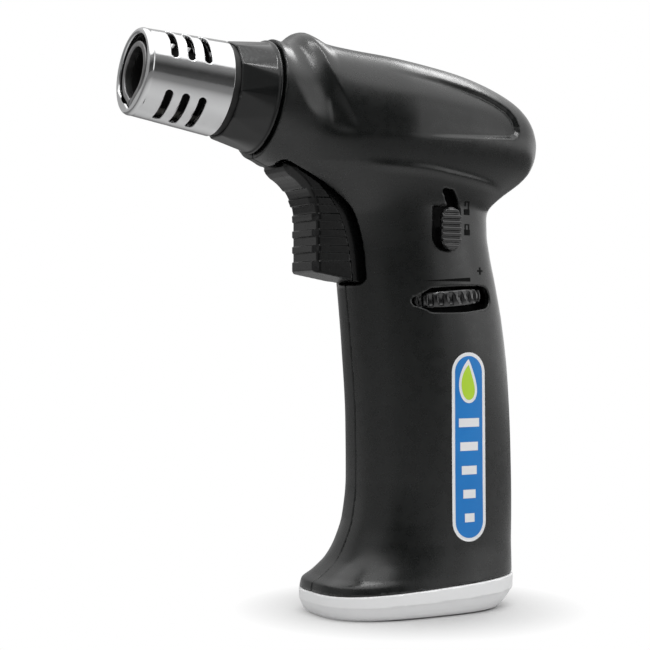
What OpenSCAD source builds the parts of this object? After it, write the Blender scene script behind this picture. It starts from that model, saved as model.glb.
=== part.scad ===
// Pistol-grip butane torch, millimetres.
// +X is the way the flame points, +Y the torch's left side, +Z up.
// The origin is on the underside of the base, below the grip.

/* [Nozzle] */
// Distance from the origin forward to the nozzle's mouth
mouth_x = 84.25; // [78:0.05:90]
// Height of the centre of the nozzle's mouth
mouth_z = 146.2; // [143:0.1:149]
// Angle by which the nozzle points up from level
nozzle_tilt = 7.3; // [5:0.1:9]
// Length of the metal guard that shows in front of the collar
guard_length = 23.9; // [22:0.1:25]
// Radius of the guard at its front edge
guard_front_r = 11.5; // [11.3:0.1:12]
// Radius of the guard at its rear edge
guard_rear_r = 12.9; // [12.6:0.1:13.1]
// Width of each cooling slot in the guard
guard_slot_w = 1.9; // [1.2:0.1:2.2]
// Number of flat faces round the collar
collar_flats = 11; // [8:1:12]

/* [Trigger] */
// Width of the trigger, side to side
trigger_w = 15.4; // [13:0.1:15.6]
// How far the trigger slides back
trigger_travel = 7; // [4:0.1:7]
// Distance from one finger rib to the next
rib_pitch = 4.3; // [3.8:0.05:4.5]
// Depth of the grooves between the finger ribs
rib_depth = 0.7; // [0.3:0.05:0.9]

/* [Gas wheel] */
// Radius of the gas wheel over its ribs
wheel_r = 15.5; // [14.8:0.1:15.6]
// Thickness of the gas wheel
wheel_t = 4.7; // [4:0.1:5]
// Number of ribs round the gas wheel
wheel_ribs = 32; // [24:1:40]
// Angle by which the wheel's axis leans forward
wheel_tilt = 4.7; // [3:0.1:6]

/* [Lock] */
// Width of the lock button
lock_w = 6.4; // [5.4:0.1:6.6]
// Height of the lock button
lock_h = 11.8; // [10:0.1:12.2]
// How far the lock button slides up
lock_travel = 4.5; // [3:0.1:4.6]

/* [Body] */
// Thickness of the moulded shells
wall = 2; // [1.6:0.1:2.4]
// Height of the seam between shells and base, under the grip
base_h = 8.1; // [7.5:0.1:8.6]
// Points round each section of the moulded skins
skin_points = 40; // [32:4:48]

/* [Hidden] */
$fn = 48;

PLASTIC = [0.10, 0.105, 0.105];
POLISHED = [0.80, 0.80, 0.81];
BRASS = [0.80, 0.62, 0.28];
STEEL = [0.62, 0.63, 0.65];

// Seam between the shells and the base: a plane that falls slightly to the front
seam_slope = -0.052;

// Driving stations of the grip: [height, value]
GRIP_FRONT = [
    [7, 31.8], [9, 31.4], [11, 28.4], [15, 23.9], [20, 21], [26, 18.9], [37, 17.7], [53, 17.9],
    [75, 19.4], [91, 21], [100, 22], [110, 25], [118, 31.6], [124, 40]
];
GRIP_REAR = [
    [7, -29.6], [15, -29.9], [31, -30.2], [45, -30], [66, -29], [81, -27.2], [91, -25.3],
    [100, -23.4], [106, -22.6], [112, -22.6], [117, -24.5], [124, -30]
];
GRIP_HALF_W = [[7, 19.6], [12, 18.6], [20, 17.6], [40, 17.2], [70, 17], [90, 16.6], [105, 16.2], [124, 16.2]];
GRIP_FULLNESS = [[7, 2.9], [20, 2.7], [60, 2.6], [90, 2.5], [124, 2.3]];
GRIP_LEVELS = [
    5, 7, 8.5, 10, 12, 15, 19, 24, 31, 40, 52, 64, 75, 84, 91, 97, 102, 106, 110, 114, 117, 120, 124
];

// Driving stations of the head: [distance forward, value]
HEAD_TOP = [
    [-38.4, 132], [-38, 135.8], [-35.8, 140.4], [-30.6, 144.9], [-22.8, 148.6], [-12.4, 151.8],
    [-3, 153.6], [10, 155.4], [23, 156.6], [30, 157.6], [34, 159.4], [37.2, 160.3], [40, 158.9],
    [43, 157.4], [47, 157.3], [60, 156]
];
HEAD_BOTTOM = [
    [-38.4, 130], [-38, 126.8], [-35.4, 122.6], [-30, 119], [-20, 115.7], [0, 114.5], [20, 116],
    [36, 120.5], [43, 123], [51, 126.4], [60, 130]
];
HEAD_HALF_W = [
    [-38.4, 1], [-37.2, 8], [-34, 13], [-28, 17], [-20, 19.2], [-8, 20.2], [8, 20], [20, 18.6],
    [32, 17], [40, 16], [47, 15.6], [60, 14]
];
HEAD_FULLNESS = 2.15;
HEAD_STATIONS = [
    -38.4, -38, -37.2, -35.8, -34, -31, -27, -22, -16, -8, 0, 8, 16, 23, 27, 30, 32, 34, 35.5,
    37, 39, 41, 43, 46, 52
];

// Places along the nozzle's axis, measured back from the mouth
collar_s = 25.6;
collar_rear_s = 36.6;
hood_s = 36.95;
collar_front_r = 13.3;
collar_rear_r = 15.2;
guard_tail_r = 11.9;
hood_r = 15.7;
burner_r = 8;
burner_bore_r = 6.4;
burner_rear_s = 41.65;
electrode_drop = 9.1;
jet_holder_r = 7.4;
hose_s = 65.7;

// The gas wheel's centre, a little to the left so that it shows on that side only
wheel_x = -4.5;
wheel_y = 2;
wheel_z = 87.5;

// The igniter lies level, behind the trigger
piezo_z = 110;
piezo_r = 5.2;
plunger_r = 3;
trigger_back_x = 13.5;
holder_front_x = trigger_back_x - trigger_travel - 3.5;
trigger_floor_z = 91.75;
ledge_z = 91.4;

// The valve lever's pivot
pivot_x = -17;
pivot_z = 97;

// The stem's collar, measured up the wheel's axis from the wheel's centre
stem_collar_h = 10.45;

// Fuel tank inside the grip
tank_x = -6;
tank_l = 38.4;
tank_w = 24.6;
tank_floor_z = 12.6;
tank_top_z = 73;
fill_x = -8;
fill_mouth_r = 2.1;

// The lock button's middle at rest
lock_x = -2.3;
lock_z = 106.7;

// Screw bosses between the two shells: [x, z]
BOSSES = [[-27.5, 132], [14, 147.5], [20.2, 12.6], [12.2, 79.5], [-22.2, 79.5]];
boss_r = 3.4;
counterbore_r = 2.4;
BASE_SCREWS_X = [-22, 22];

// Soft lines: points chosen by hand along each route
HOSE_ROUTE = [
    [-3.49, 2, 99.7], [-3.41, 2, 100.6], [-3.4, 1.5, 101.8], [-3.4, 0.3, 102.7], [-3.4, -1.6, 103.1],
    [-3.4, -4.5, 103.1], [-3.4, -7.2, 103.5], [-3.4, -9.3, 105], [-3.4, -10.4, 107.5], [-3.3, -10.8, 112],
    [-2.6, -10.7, 117.5], [-0.5, -10, 123.5], [3, -8, 129.5], [7, -5, 133.8], [11, -1.8, 136.3],
    [15.1, 0, 137.35], [19.07, 0, 137.86]
];
WIRE_ROUTE = [
    [-15, 0, 115.4], [-15, 0.8, 118], [-13.5, 4, 122], [-9, 8.5, 126], [0, 11, 129],
    [10, 11.6, 130.6], [20, 10.6, 131.2], [28, 7, 131.2], [32, 2.6, 130.6], [35, 0.4, 130.7], [38, 0, 131.1]
];

// ---- curves -----------------------------------------------------------------

// Rise over run from entry i of a list of stations to the next one
function rise(keys, i) = (keys[i + 1][1] - keys[i][1]) / (keys[i + 1][0] - keys[i][0]);

// Weighted harmonic mean of the rises on both sides of entry i, level at a crest or a dip
function blended(keys, i, before, after) =
    let (h0 = keys[i][0] - keys[i - 1][0], h1 = keys[i + 1][0] - keys[i][0])
    3 * (h0 + h1) / ((2 * h1 + h0) / before + (h1 + 2 * h0) / after);
function slope(keys, i) =
    i == 0 ? rise(keys, 0)
    : i == len(keys) - 1 ? rise(keys, i - 1)
    : rise(keys, i - 1) * rise(keys, i) <= 0 ? 0
    : blended(keys, i, rise(keys, i - 1), rise(keys, i));

function segment(keys, t, i = 0) = i >= len(keys) - 2 || t < keys[i + 1][0] ? i : segment(keys, t, i + 1);

// Smooth curve through a list of stations, with no overshoot between them
function curve(keys, t) =
    let (
        i = segment(keys, t),
        h = keys[i + 1][0] - keys[i][0],
        s = min(max((t - keys[i][0]) / h, 0), 1)
    )
    (2 * s * s * s - 3 * s * s + 1) * keys[i][1] + (s * s * s - 2 * s * s + s) * h * slope(keys, i)
    + (3 * s * s - 2 * s * s * s) * keys[i + 1][1] + (s * s * s - s * s) * h * slope(keys, i + 1);

// Point at angle t on a rounded-box outline with half-sizes a and b
function outline(a, b, fullness, t) = [
    a * sign(cos(t)) * pow(abs(cos(t)), 2 / fullness),
    b * sign(sin(t)) * pow(abs(sin(t)), 2 / fullness)
];

// ---- shared shapes ------------------------------------------------------------

// Closed skin over rings of points, each ring with the same count
module skin(rings) {
    n = len(rings[0]);
    last = len(rings) - 1;
    sides = [
        for (i = [0:last - 1], j = [0:n - 1])
            let (a = i * n + j, b = i * n + (j + 1) % n)
            each [[a, a + n, b + n], [a, b + n, b]]
    ];
    ends = [[for (j = [0:n - 1]) j], [for (j = [n - 1:-1:0]) last * n + j]];
    polyhedron([for (ring = rings) each ring], concat(sides, ends));
}

// Round tube along a route, as one closed skin
module tube(route, r, sides = 8) {
    last = len(route) - 1;
    skin([
        for (i = [0:last])
            let (
                ahead = route[min(i + 1, last)] - route[max(i - 1, 0)],
                along = ahead / norm(ahead),
                across = cross(along, [1, 0.3, 0]) / norm(cross(along, [1, 0.3, 0])),
                other = cross(along, across)
            )
            [for (j = [0:sides - 1]) route[i] + r * (cos(j * 360 / sides) * across + sin(j * 360 / sides) * other)]
    ]);
}

// Points along a coil with its closed end turns
function coil(r, length, turns, steps = 14) = [
    for (i = [0:turns * steps])
        [r * cos(i * 360 / steps), r * sin(i * 360 / steps), length * i / (turns * steps)]
];

module ring(outer, inner, h) {
    difference() {
        cylinder(h = h, r = outer);
        translate([0, 0, -1]) cylinder(h = h + 2, r = inner);
    }
}

// Flat outline of a box with round corners
module round_box(l, w, r) {
    square([l - 2 * r, w], center = true);
    square([l, w - 2 * r], center = true);
    for (x = [-1, 1], y = [-1, 1]) translate([x * (l / 2 - r), y * (w / 2 - r)]) circle(r);
}

// Places its children in the nozzle's frame: Z runs back from the mouth and X points up
module nozzle_frame() {
    translate([mouth_x, 0, mouth_z]) rotate([0, -90 - nozzle_tilt, 0]) children();
}

// Places its children at the gas wheel's centre, along its leaning axis
module wheel_frame() {
    translate([wheel_x, wheel_y, wheel_z]) rotate([0, wheel_tilt, 0]) children();
}

// Stands an outline of [x, z] points upright and gives it a width centred on the middle plane
module upright(width, y = 0) {
    translate([0, y + width / 2, 0]) rotate([90, 0, 0]) linear_extrude(width) children();
}

// Rod of radius r that runs sideways from y0 to y1 at [x, z]
module cross_rod(p, r, y0, y1) {
    translate([p[0], y1, p[1]]) rotate([90, 0, 0]) cylinder(h = y1 - y0, r = r);
}

// ---- the moulded body ---------------------------------------------------------

module grip_form(inset = 0) {
    n = inset > 0 ? skin_points * 3 / 5 : skin_points;
    skin([
        for (z = GRIP_LEVELS)
            let (
                front = curve(GRIP_FRONT, z) - inset,
                rear = curve(GRIP_REAR, z) + inset,
                half = curve(GRIP_HALF_W, z) - inset
            )
            [for (j = [0:n - 1])
                let (p = outline((front - rear) / 2, half, curve(GRIP_FULLNESS, z), j * 360 / n))
                [(front + rear) / 2 + p[0], p[1], z]]
    ]);
}

module head_form(inset = 0) {
    n = inset > 0 ? skin_points * 3 / 5 : skin_points;
    skin([
        for (x = HEAD_STATIONS)
            if (x >= -38.4 + 1.3 * inset)
                let (
                    top = curve(HEAD_TOP, x) - inset,
                    bottom = curve(HEAD_BOTTOM, x) + inset,
                    half = curve(HEAD_HALF_W, x) - inset
                )
                [for (j = [0:n - 1])
                    let (p = outline(half, (top - bottom) / 2, HEAD_FULLNESS, j * 360 / n))
                    [x, p[0], (top + bottom) / 2 + p[1]]]
    ]);
}

// Round hood that holds the collar
module hood_form(inset = 0) {
    nozzle_frame() translate([0, 0, hood_s - inset]) cylinder(h = 14, r = hood_r - inset);
}

module body_form(inset = 0) {
    grip_form(inset);
    head_form(inset);
    hood_form(inset);
}

// Everything in front of the hood's front face
module ahead_of_hood() {
    nozzle_frame() translate([0, 0, hood_s - 60]) cylinder(h = 60, r = 40);
}

// Everything below the seam with the base
module below_seam() {
    rotate([0, -atan(seam_slope), 0]) translate([-60, -40, base_h - 30]) cube([120, 80, 30]);
}

// Slot that the trigger slides in, closed in front by the underside of the hood
module trigger_slot() {
    upright(trigger_w + 1) polygon([
        [16, ledge_z], [44.6, ledge_z], [44.6, 126.5], [43, 128], [16, 128]
    ]);
}

module half_shell(side) {
    difference() {
        body_form();
        body_form(wall);
        ahead_of_hood();
        below_seam();
        trigger_slot();
        translate([-60, side > 0 ? -60 : 0, -10]) cube([160, 60, 200]);
    }
    // Flange that guides the trigger, and the ledge under it
    intersection() {
        union() {
            grip_form(wall - 0.3);
            head_form(wall - 0.3);
        }
        union() {
            upright(1.2, side * (trigger_w / 2 + 1)) polygon([
                [12, ledge_z], [40, ledge_z], [40, 122.5], [20, 122.5], [12, 116.5]
            ]);
            upright(trigger_w / 2 + 1.6, side * (trigger_w / 4 + 0.8)) polygon([
                [12.6, ledge_z - 1.8], [24, ledge_z - 1.8], [24, ledge_z], [12.6, ledge_z]
            ]);
        }
    }
}

// Boss with a web to the wall, from the middle plane outwards
module boss(p, side) {
    intersection() {
        body_form(wall - 0.3);
        hull() {
            cross_rod(p, boss_r, min(0, side * 20), max(0, side * 20));
            cross_rod([p[0], p[1] - 1.5], boss_r - 1, min(0, side * 20), max(0, side * 20));
        }
    }
}

// Window of the gas wheel: blunt at the rear and pointed in front
module wheel_window() {
    hull() for (c = [[-14.4, 87.7, 3.1], [-8, 87.3, 3.5], [2, 86.95, 3.3], [7.3, 86.6, 1.2]])
        cross_rod([c[0], c[1]], c[2], 12, 32, $fn = 32);
}

// Room inside the wall for the wheel's rim
module wheel_room() {
    wheel_frame() translate([0, 0, -wheel_t / 2 - 0.5]) cylinder(h = wheel_t + 1, r = wheel_r + 0.4, $fn = 64);
}

// Window of the lock: a wide round-ended well and a narrower way up that hooks forward
module lock_window() {
    hull() {
        for (z = [105.1, 108.6]) cross_rod([-2.1, z], 4.4, 10, 22, $fn = 32);
        translate([-6.5, 10, 111.7]) cube([8.8, 12, 1]);
    }
    hull() {
        for (z = [112, 113.9]) cross_rod([-4.3, z], 1.8, 10, 22, $fn = 32);
        cross_rod([-3.1, 115.9], 1.7, 10, 22, $fn = 32);
    }
    hull() {
        cross_rod([-3.1, 115.9], 1.7, 10, 22, $fn = 32);
        cross_rod([-1.3, 117.1], 0.75, 10, 22, $fn = 32);
    }
}

module shell_left() {
    color(PLASTIC) render() difference() {
        union() {
            half_shell(1);
            for (p = BOSSES) boss(p, 1);
        }
        for (p = BOSSES) cross_rod(p, 1.25, -1, 9, $fn = 24);
        wheel_window();
        wheel_room();
        lock_window();
    }
}

module shell_right() {
    color(PLASTIC) render() difference() {
        union() {
            half_shell(-1);
            for (p = BOSSES) boss(p, -1);
        }
        for (p = BOSSES) {
            cross_rod(p, 1.25, -30, 1, $fn = 24);
            hull() {
                cross_rod(p, counterbore_r, -30, -8, $fn = 24);
                cross_rod(p, counterbore_r, -31, -30, $fn = 24);
            }
        }
    }
}

// Tray that closes the foot of the grip, bright on the outside
module base_form(inset = 0) {
    // Each level: [height, how far its outline draws in at the front, the sides and the rear,
    // how far it follows the seam's slope]
    levels = [
        [0, 2.2, 2.5, 5.6, 0], [0.35, 1.7, 1.9, 4.6, 0], [1, 1.3, 1.4, 3.7, 0.1], [2.2, 0.8, 0.9, 2.2, 0.3],
        [4, 0.2, 0.3, 0.5, 0.5], [4.5, 0.03, 0.05, 0.06, 0.6], [base_h, 0, 0, 0, 1]
    ];
    overshoot = inset > 0 ? 1 : 0;
    skin([
        for (level = levels)
            if (level[0] == 0 || level[0] > inset)
                let (
                    front = curve(GRIP_FRONT, 7) + 0.2 - level[1] - inset,
                    half = curve(GRIP_HALF_W, 7) - level[2] - inset,
                    rear = curve(GRIP_REAR, 7) - 0.2 + level[3] + inset,
                    z = max(level[0], inset) + overshoot * level[4]
                )
                [for (j = [0:skin_points - 1])
                    let (
                        p = outline((front - rear) / 2, half, 2.9, j * 360 / skin_points),
                        x = (front + rear) / 2 + p[0]
                    )
                    [x, p[1], z + seam_slope * x * level[4]]]
    ]);
}

module base_cap() {
    color([0.86, 0.86, 0.87]) difference() {
        base_form();
        difference() {
            base_form(1.8);
            translate([fill_x, 0, 0]) cylinder(h = 4, r = 8);
            for (x = BASE_SCREWS_X) translate([x, 0, 0]) cylinder(h = 4.6, r = 4);
        }
        translate([fill_x, 0, -1]) cylinder(h = 10, r = 5.2);
        for (x = BASE_SCREWS_X) {
            translate([x, 0, -1]) cylinder(h = 10, r = 1.4);
            translate([x, 0, -1]) cylinder(h = 3.2, r = 3);
        }
    }
}

// ---- the nozzle ---------------------------------------------------------------

// One cooling slot round the guard, with round ends
module guard_slot(s, middle, arc) {
    rotate([0, 0, middle - arc / 2]) {
        translate([0, 0, s - guard_slot_w / 2])
            rotate_extrude(angle = arc) translate([8.6, 0]) square([6, guard_slot_w]);
        for (turn = [0, arc]) {
            rotate([0, 0, turn]) translate([8.6, 0, s]) rotate([0, 90, 0])
                cylinder(h = 6, r = guard_slot_w / 2 + 0.03);
        }
    }
}

// Polished tube round the flame, with a rolled lip and three rows of slots
module nozzle_guard() {
    lip = 1.35;
    tail_s = collar_s + 7.4;
    slot_pitch = 4.6;
    color(POLISHED) nozzle_frame() difference() {
        rotate_extrude() polygon([
            [guard_front_r - lip, 0.9], [guard_front_r - 1.05, 0], [guard_front_r - 0.35, 0],
            [guard_front_r, 0.5], [guard_rear_r, guard_length], [guard_tail_r, guard_length],
            [guard_tail_r, tail_s], [guard_tail_r - 1, tail_s], [guard_tail_r - 1, guard_length - 3]
        ]);
        for (row = [0:2], middle = [46, 143, 217, 314]) guard_slot(7.15 + row * slot_pitch, middle, 45);
    }
}

// Black ring between the guard and the collar
module spacer_ring() {
    color([0.04, 0.04, 0.04]) nozzle_frame()
        translate([0, 0, guard_length]) ring(12.3, 11.95, collar_s - guard_length + 3);
}

// Heat-proof collar: flat faces in front that run out into a round rear edge
module front_collar() {
    color(PLASTIC) nozzle_frame() difference() {
        union() {
            hull() {
                translate([0, 0, collar_s]) cylinder(h = 0.2, r = collar_front_r, $fn = collar_flats);
                translate([0, 0, collar_rear_s - 0.6]) cylinder(h = 0.2, r = collar_rear_r, $fn = 66);
            }
            translate([0, 0, collar_rear_s - 0.6]) cylinder(h = 0.6, r = collar_rear_r + 0.35);
            translate([0, 0, collar_rear_s]) cylinder(h = 7, r = hood_r - wall - 0.1);
        }
        translate([0, 0, collar_s - 1]) cylinder(h = 4, r = 12.35);
        translate([0, 0, collar_s]) cylinder(h = 8.2, r = 11.95);
        translate([0, 0, collar_s]) cylinder(h = 30, r = 10.6);
    }
}

// Round outline with a pointed lobe at the bottom
module teardrop(r, lobe) {
    circle(r);
    polygon([[-lobe, 0], [-0.74 * r, 0.64 * r], [0, 0], [-0.74 * r, -0.64 * r]]);
}

// Tube that the flame burns in, with a pointed lobe for the spark
module burner_tube() {
    color([0.45, 0.45, 0.46]) nozzle_frame() difference() {
        union() {
            translate([0, 0, 0.4]) linear_extrude(4) teardrop(burner_r, 10.05);
            translate([0, 0, 4]) cylinder(h = burner_rear_s - 4, r = burner_r - 0.02);
        }
        linear_extrude(3.2) teardrop(burner_bore_r + 0.02, 7.9);
        cylinder(h = burner_rear_s + 1, r = burner_bore_r);
        translate([-electrode_drop, 0, 0]) cylinder(h = 6, r = 0.6);
        translate([-electrode_drop, -0.6, 0]) cube([3, 1.2, 1.6]);
    }
}

// Disc of jet holes at the root of the flame
module flame_grid() {
    color(BRASS) nozzle_frame() translate([0, 0, 23.65]) difference() {
        cylinder(h = 1.6, r = burner_bore_r - 0.02);
        translate([0, 0, -1]) cylinder(h = 4, r = 1.3);
        for (i = [0:7]) rotate([0, 0, i * 45 + 22.5]) translate([4, 0, -1]) cylinder(h = 4, r = 0.8);
    }
}

// Plate that holds the burner inside the hood
module burner_flange() {
    color(STEEL) nozzle_frame() translate([0, 0, collar_rear_s + 7.1]) difference() {
        cylinder(h = 2, r = hood_r - wall - 0.4);
        translate([0, 0, -1]) cylinder(h = 4, r = jet_holder_r + 0.02);
        translate([-electrode_drop - 1, 0, -1]) cylinder(h = 4, r = 2.2);
    }
}

// Brass body behind the burner, with air holes and a barb for the hose
module jet_holder() {
    neck_s = burner_rear_s + 14;
    barb_s = neck_s + 5;
    color(BRASS) nozzle_frame() difference() {
        union() {
            translate([0, 0, burner_rear_s - 7]) cylinder(h = 7, r = burner_bore_r - 0.02);
            translate([0, 0, burner_rear_s]) cylinder(h = 14, r = jet_holder_r);
            translate([0, 0, neck_s]) cylinder(h = barb_s - neck_s, r = 4);
            translate([0, 0, barb_s]) cylinder(h = hose_s - barb_s, r = 1.7);
        }
        translate([0, 0, burner_rear_s - 8]) cylinder(h = 19, r = 3.2);
        translate([0, 0, neck_s - 4]) cylinder(h = 20, r = 0.6);
        for (turn = [0, 90]) {
            translate([0, 0, burner_rear_s + 6]) rotate([90, 0, turn]) cylinder(h = 20, r = 1.4, center = true);
        }
    }
}

// Small screwed jet inside the holder
module gas_jet() {
    color(BRASS) nozzle_frame() translate([0, 0, burner_rear_s + 8]) ring(3.15, 0.3, 2.9);
}

// Wire that the spark jumps from; its tip turns in towards the flame
module spark_electrode() {
    color(STEEL) nozzle_frame() translate([-electrode_drop, 0, 0.9]) {
        cylinder(h = burner_rear_s + 5, r = 0.45);
        rotate([0, 90, 0]) cylinder(h = 1.9, r = 0.45);
        sphere(0.45);
    }
}

module electrode_sleeve() {
    color([0.93, 0.92, 0.88]) nozzle_frame() translate([-electrode_drop, 0, 6]) ring(1, 0.5, burner_rear_s - 2);
}

module ignition_wire() {
    color([0.55, 0.06, 0.05]) tube(WIRE_ROUTE, 0.65);
}

// ---- the trigger and the igniter ----------------------------------------------

// Side outline of the trigger: straight finger face, concave lip above, hidden tail behind
module trigger_outline() {
    lip = [for (t = [0:10:60]) [47.6 - 13 * cos(t + 2), 108.9 + 13 * sin(t + 2)]];
    polygon(concat(
        [[34.6, 94.9]],
        lip,
        [
            [42.7, 121.5], [43.3, 122.5], [43.2, 123.6], [42.3, 124.3], [38, 124.9], [28, 124], [19, 119.5],
            [trigger_back_x, 114.5], [trigger_back_x, trigger_floor_z], [19.6, trigger_floor_z], [33.8, 94.3]
        ]
    ));
}

// Outline in three widths, so that the edges of the finger face step back
module trigger_blank() {
    for (step = [0:2]) intersection() {
        upright(trigger_w - 1.4 * (2 - step)) translate([-0.6 * step, 0]) trigger_outline();
        translate([trigger_back_x, -20, 80]) cube([40, 40, 60]);
    }
}

module trigger() {
    groove_w = rib_pitch - 1.9;
    color(PLASTIC) {
        difference() {
            trigger_blank();
            // Finger grooves, cut across the front and a little into both sides
            for (i = [0:4]) {
                groove_z = 97.5 + i * rib_pitch;
                front_x = 34.6 + (i == 4 ? 0.75 : 0);
                translate([front_x - rib_depth, -20, groove_z]) cube([8, 40, groove_w]);
            }
            for (i = [0:4], side = [-1, 1]) {
                translate([26, side * (trigger_w / 2 + 0.15), 97.5 + i * rib_pitch + groove_w / 2])
                    cube([24, 1, groove_w], center = true);
            }
            // Hollow back, and the socket of the igniter's plunger
            translate([trigger_back_x - 1, -4.2, 96]) cube([15, 8.4, 8.6]);
            translate([trigger_back_x - 1, 0, piezo_z]) rotate([0, 90, 0]) cylinder(h = 4, r = plunger_r + 0.02);
        }
        // Tail with the ramp that lifts the valve lever
        upright(3.8, -3.1) polygon([[4.5, 93.4], [14.5, 93.4], [14.5, 97.9], [13.5, 97.7], [4.5, 95.4]]);
    }
}

module piezo_plunger() {
    color([0.92, 0.92, 0.9]) translate([-5, 0, piezo_z]) rotate([0, 90, 0])
        cylinder(h = trigger_back_x + 7.9, r = plunger_r);
}

module piezo_body() {
    color([0.15, 0.15, 0.16]) difference() {
        union() {
            translate([-19, 0, piezo_z]) rotate([0, 90, 0]) cylinder(h = 22, r = piezo_r);
            translate([-16.5, -2.2, piezo_z]) cube([3, 4.4, piezo_r + 0.1]);
        }
        translate([-13, 0, piezo_z]) rotate([0, 90, 0]) cylinder(h = 30, r = plunger_r + 0.05);
    }
}

// Frame that holds the igniter and the valve lever's pin
module piezo_holder() {
    color([0.2, 0.2, 0.21]) difference() {
        union() {
            for (side = [-1, 1]) upright(1.2, side * 6.2) polygon([
                [-18.4, 94.4], [-14.6, 94.4], [-13, 105], [holder_front_x, 105],
                [holder_front_x, 116], [-12, 116], [-18.4, 112]
            ]);
            translate([-18.4, -6.6, 103.4]) cube([4, 13.2, 1.2]);
            translate([-1, -6.6, 104.2]) cube([holder_front_x + 1, 13.2, 1.2]);
            // Seat of the trigger's spring
            translate([holder_front_x - 1.2, -0.9, 97.8]) cube([1.2, 6, 7]);
            translate([-10, -6.6, 115.4]) cube([6, 13.2, 1.2]);
        }
        cross_rod([pivot_x, pivot_z], 1.02, -10, 10);
        translate([-30, 0, piezo_z]) rotate([0, 90, 0]) cylinder(h = 60, r = piezo_r + 0.02);
    }
}

// Return spring below the igniter, between the holder's foot and the trigger
module trigger_spring() {
    start_x = holder_front_x + 0.4;
    color(STEEL) translate([start_x, 1.6, 101]) rotate([0, 90, 0]) tube(coil(2.2, 26.4 - start_x, 8, 10), 0.35, 6);
}

// ---- the lock -----------------------------------------------------------------

module lock_outline() {
    square([lock_w, lock_h - lock_w], center = true);
    for (end = [-1, 1]) translate([0, end * (lock_h - lock_w) / 2]) circle(lock_w / 2);
}

// Sliding button with a ribbed cap outside and a plate inside the left shell
module lock_button() {
    cap_y = 17.2;
    plate_h = 17.2 + lock_travel;
    color(PLASTIC) {
        translate([lock_x, cap_y, lock_z]) rotate([-90, 0, 0]) linear_extrude(1.2) lock_outline();
        intersection() {
            translate([lock_x, cap_y + 1, lock_z]) rotate([-90, 0, 0]) linear_extrude(2) lock_outline();
            for (i = [0:6]) {
                translate([lock_x - 5, cap_y + 1.1, lock_z + (i - 3) * 1.63]) rotate([0, 90, 0])
                    cylinder(h = 10, r = 0.62);
            }
        }
        translate([lock_x - 1.3, 12.4, lock_z - 5]) cube([2.6, cap_y - 12.3, 5.6]);
        translate([lock_x - 4.6, 11.4, lock_z - 9.7]) cube([11, 1.2, plate_h]);
    }
}

// ---- the gas valve --------------------------------------------------------------

module gas_wheel() {
    rib_r = 0.95;
    color(PLASTIC) wheel_frame() translate([0, 0, -wheel_t / 2]) difference() {
        union() {
            cylinder(h = wheel_t, r = wheel_r - rib_r);
            for (i = [0:wheel_ribs - 1]) rotate([0, 0, i * 360 / wheel_ribs])
                translate([wheel_r - rib_r, 0, 0]) cylinder(h = wheel_t, r = rib_r, $fn = 24);
        }
        translate([0, 0, -1]) cylinder(h = wheel_t + 2, r = 3.55);
        translate([0, 0, wheel_t - 1.2]) ring(12.5, 5.5, 2);
        translate([0, 0, -0.8]) ring(12.5, 5.5, 2);
    }
}

module outlet_valve_body() {
    color(BRASS) wheel_frame() difference() {
        union() {
            translate([0, 0, -18]) cylinder(h = 7.6, r = 4.48);
            translate([0, 0, -10.4]) cylinder(h = 7.6, r = 5.6);
            translate([0, 0, -3]) cylinder(h = 7.4, r = 3.5);
        }
        translate([0, 0, -9]) cylinder(h = 20, r = 1.25);
        translate([0, 0, -19]) cylinder(h = 20, r = 0.6);
    }
}

// Hollow stem that opens the valve when the lever lifts its collar
module outlet_valve_stem() {
    color(BRASS) wheel_frame() difference() {
        union() {
            translate([0, 0, -6.5]) cylinder(h = 18.7, r = 1.2);
            translate([0, 0, stem_collar_h]) cylinder(h = 1.2, r = 2.6);
        }
        translate([0, 0, 2]) cylinder(h = 12, r = 0.6);
    }
}

// Rubber ring in the top of the tank
module stem_seal() {
    color([0.03, 0.03, 0.03]) wheel_frame() translate([0, 0, -11.2]) ring(5.6, 4.5, 0.8);
}

module valve_lever() {
    color(STEEL) difference() {
        union() {
            translate([pivot_x, -4.9, 96.1]) cube([22.4, 9.8, 1.2]);
            cross_rod([pivot_x, pivot_z], 1.9, -4.9, 4.9);
            cross_rod([5.4, 96.6], 0.8, -4.9, -1.3);
        }
        cross_rod([pivot_x, pivot_z], 1.05, -10, 10);
        translate([-6.1, wheel_y - 1.6, 90]) cube([5, 3.2, 12]);
        translate([-1.2, -1.2, 90]) cube([20, 12, 12]);
    }
}

module lever_pin() {
    color(STEEL) cross_rod([pivot_x, pivot_z], 1, -7, 7);
}

module gas_hose() {
    color([0.75, 0.75, 0.72]) tube(HOSE_ROUTE, 1.2);
}

// ---- the tank -------------------------------------------------------------------

module fuel_tank() {
    color([0.72, 0.76, 0.80]) difference() {
        union() {
            translate([tank_x, 0, tank_floor_z])
                linear_extrude(tank_top_z - tank_floor_z) round_box(tank_l, tank_w, 8.5);
            wheel_frame() translate([0, 0, -17.5]) cylinder(h = 6.3, r = 7);
        }
        translate([tank_x, 0, tank_floor_z - 1]) linear_extrude(tank_top_z - tank_floor_z - 0.8)
            round_box(tank_l - 3.2, tank_w - 3.2, 6.9);
        wheel_frame() translate([0, 0, -30]) cylinder(h = 40, r = 4.5);
    }
}

module tank_floor() {
    color([0.60, 0.64, 0.68]) difference() {
        union() {
            translate([tank_x, 0, tank_floor_z - 1.6]) linear_extrude(1.6) round_box(tank_l, tank_w, 8.5);
            translate([tank_x, 0, tank_floor_z]) linear_extrude(3) round_box(tank_l - 3.5, tank_w - 3.5, 6.7);
            translate([fill_x, 0, tank_floor_z]) cylinder(h = 6, r = 6);
        }
        translate([fill_x, 0, tank_floor_z - 3]) cylinder(h = 12, r = 3.5);
    }
}

module tank_seal() {
    color([0.03, 0.03, 0.03]) translate([fill_x, 0, tank_floor_z - 2.4]) ring(5, 3.5, 0.8);
}

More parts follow.
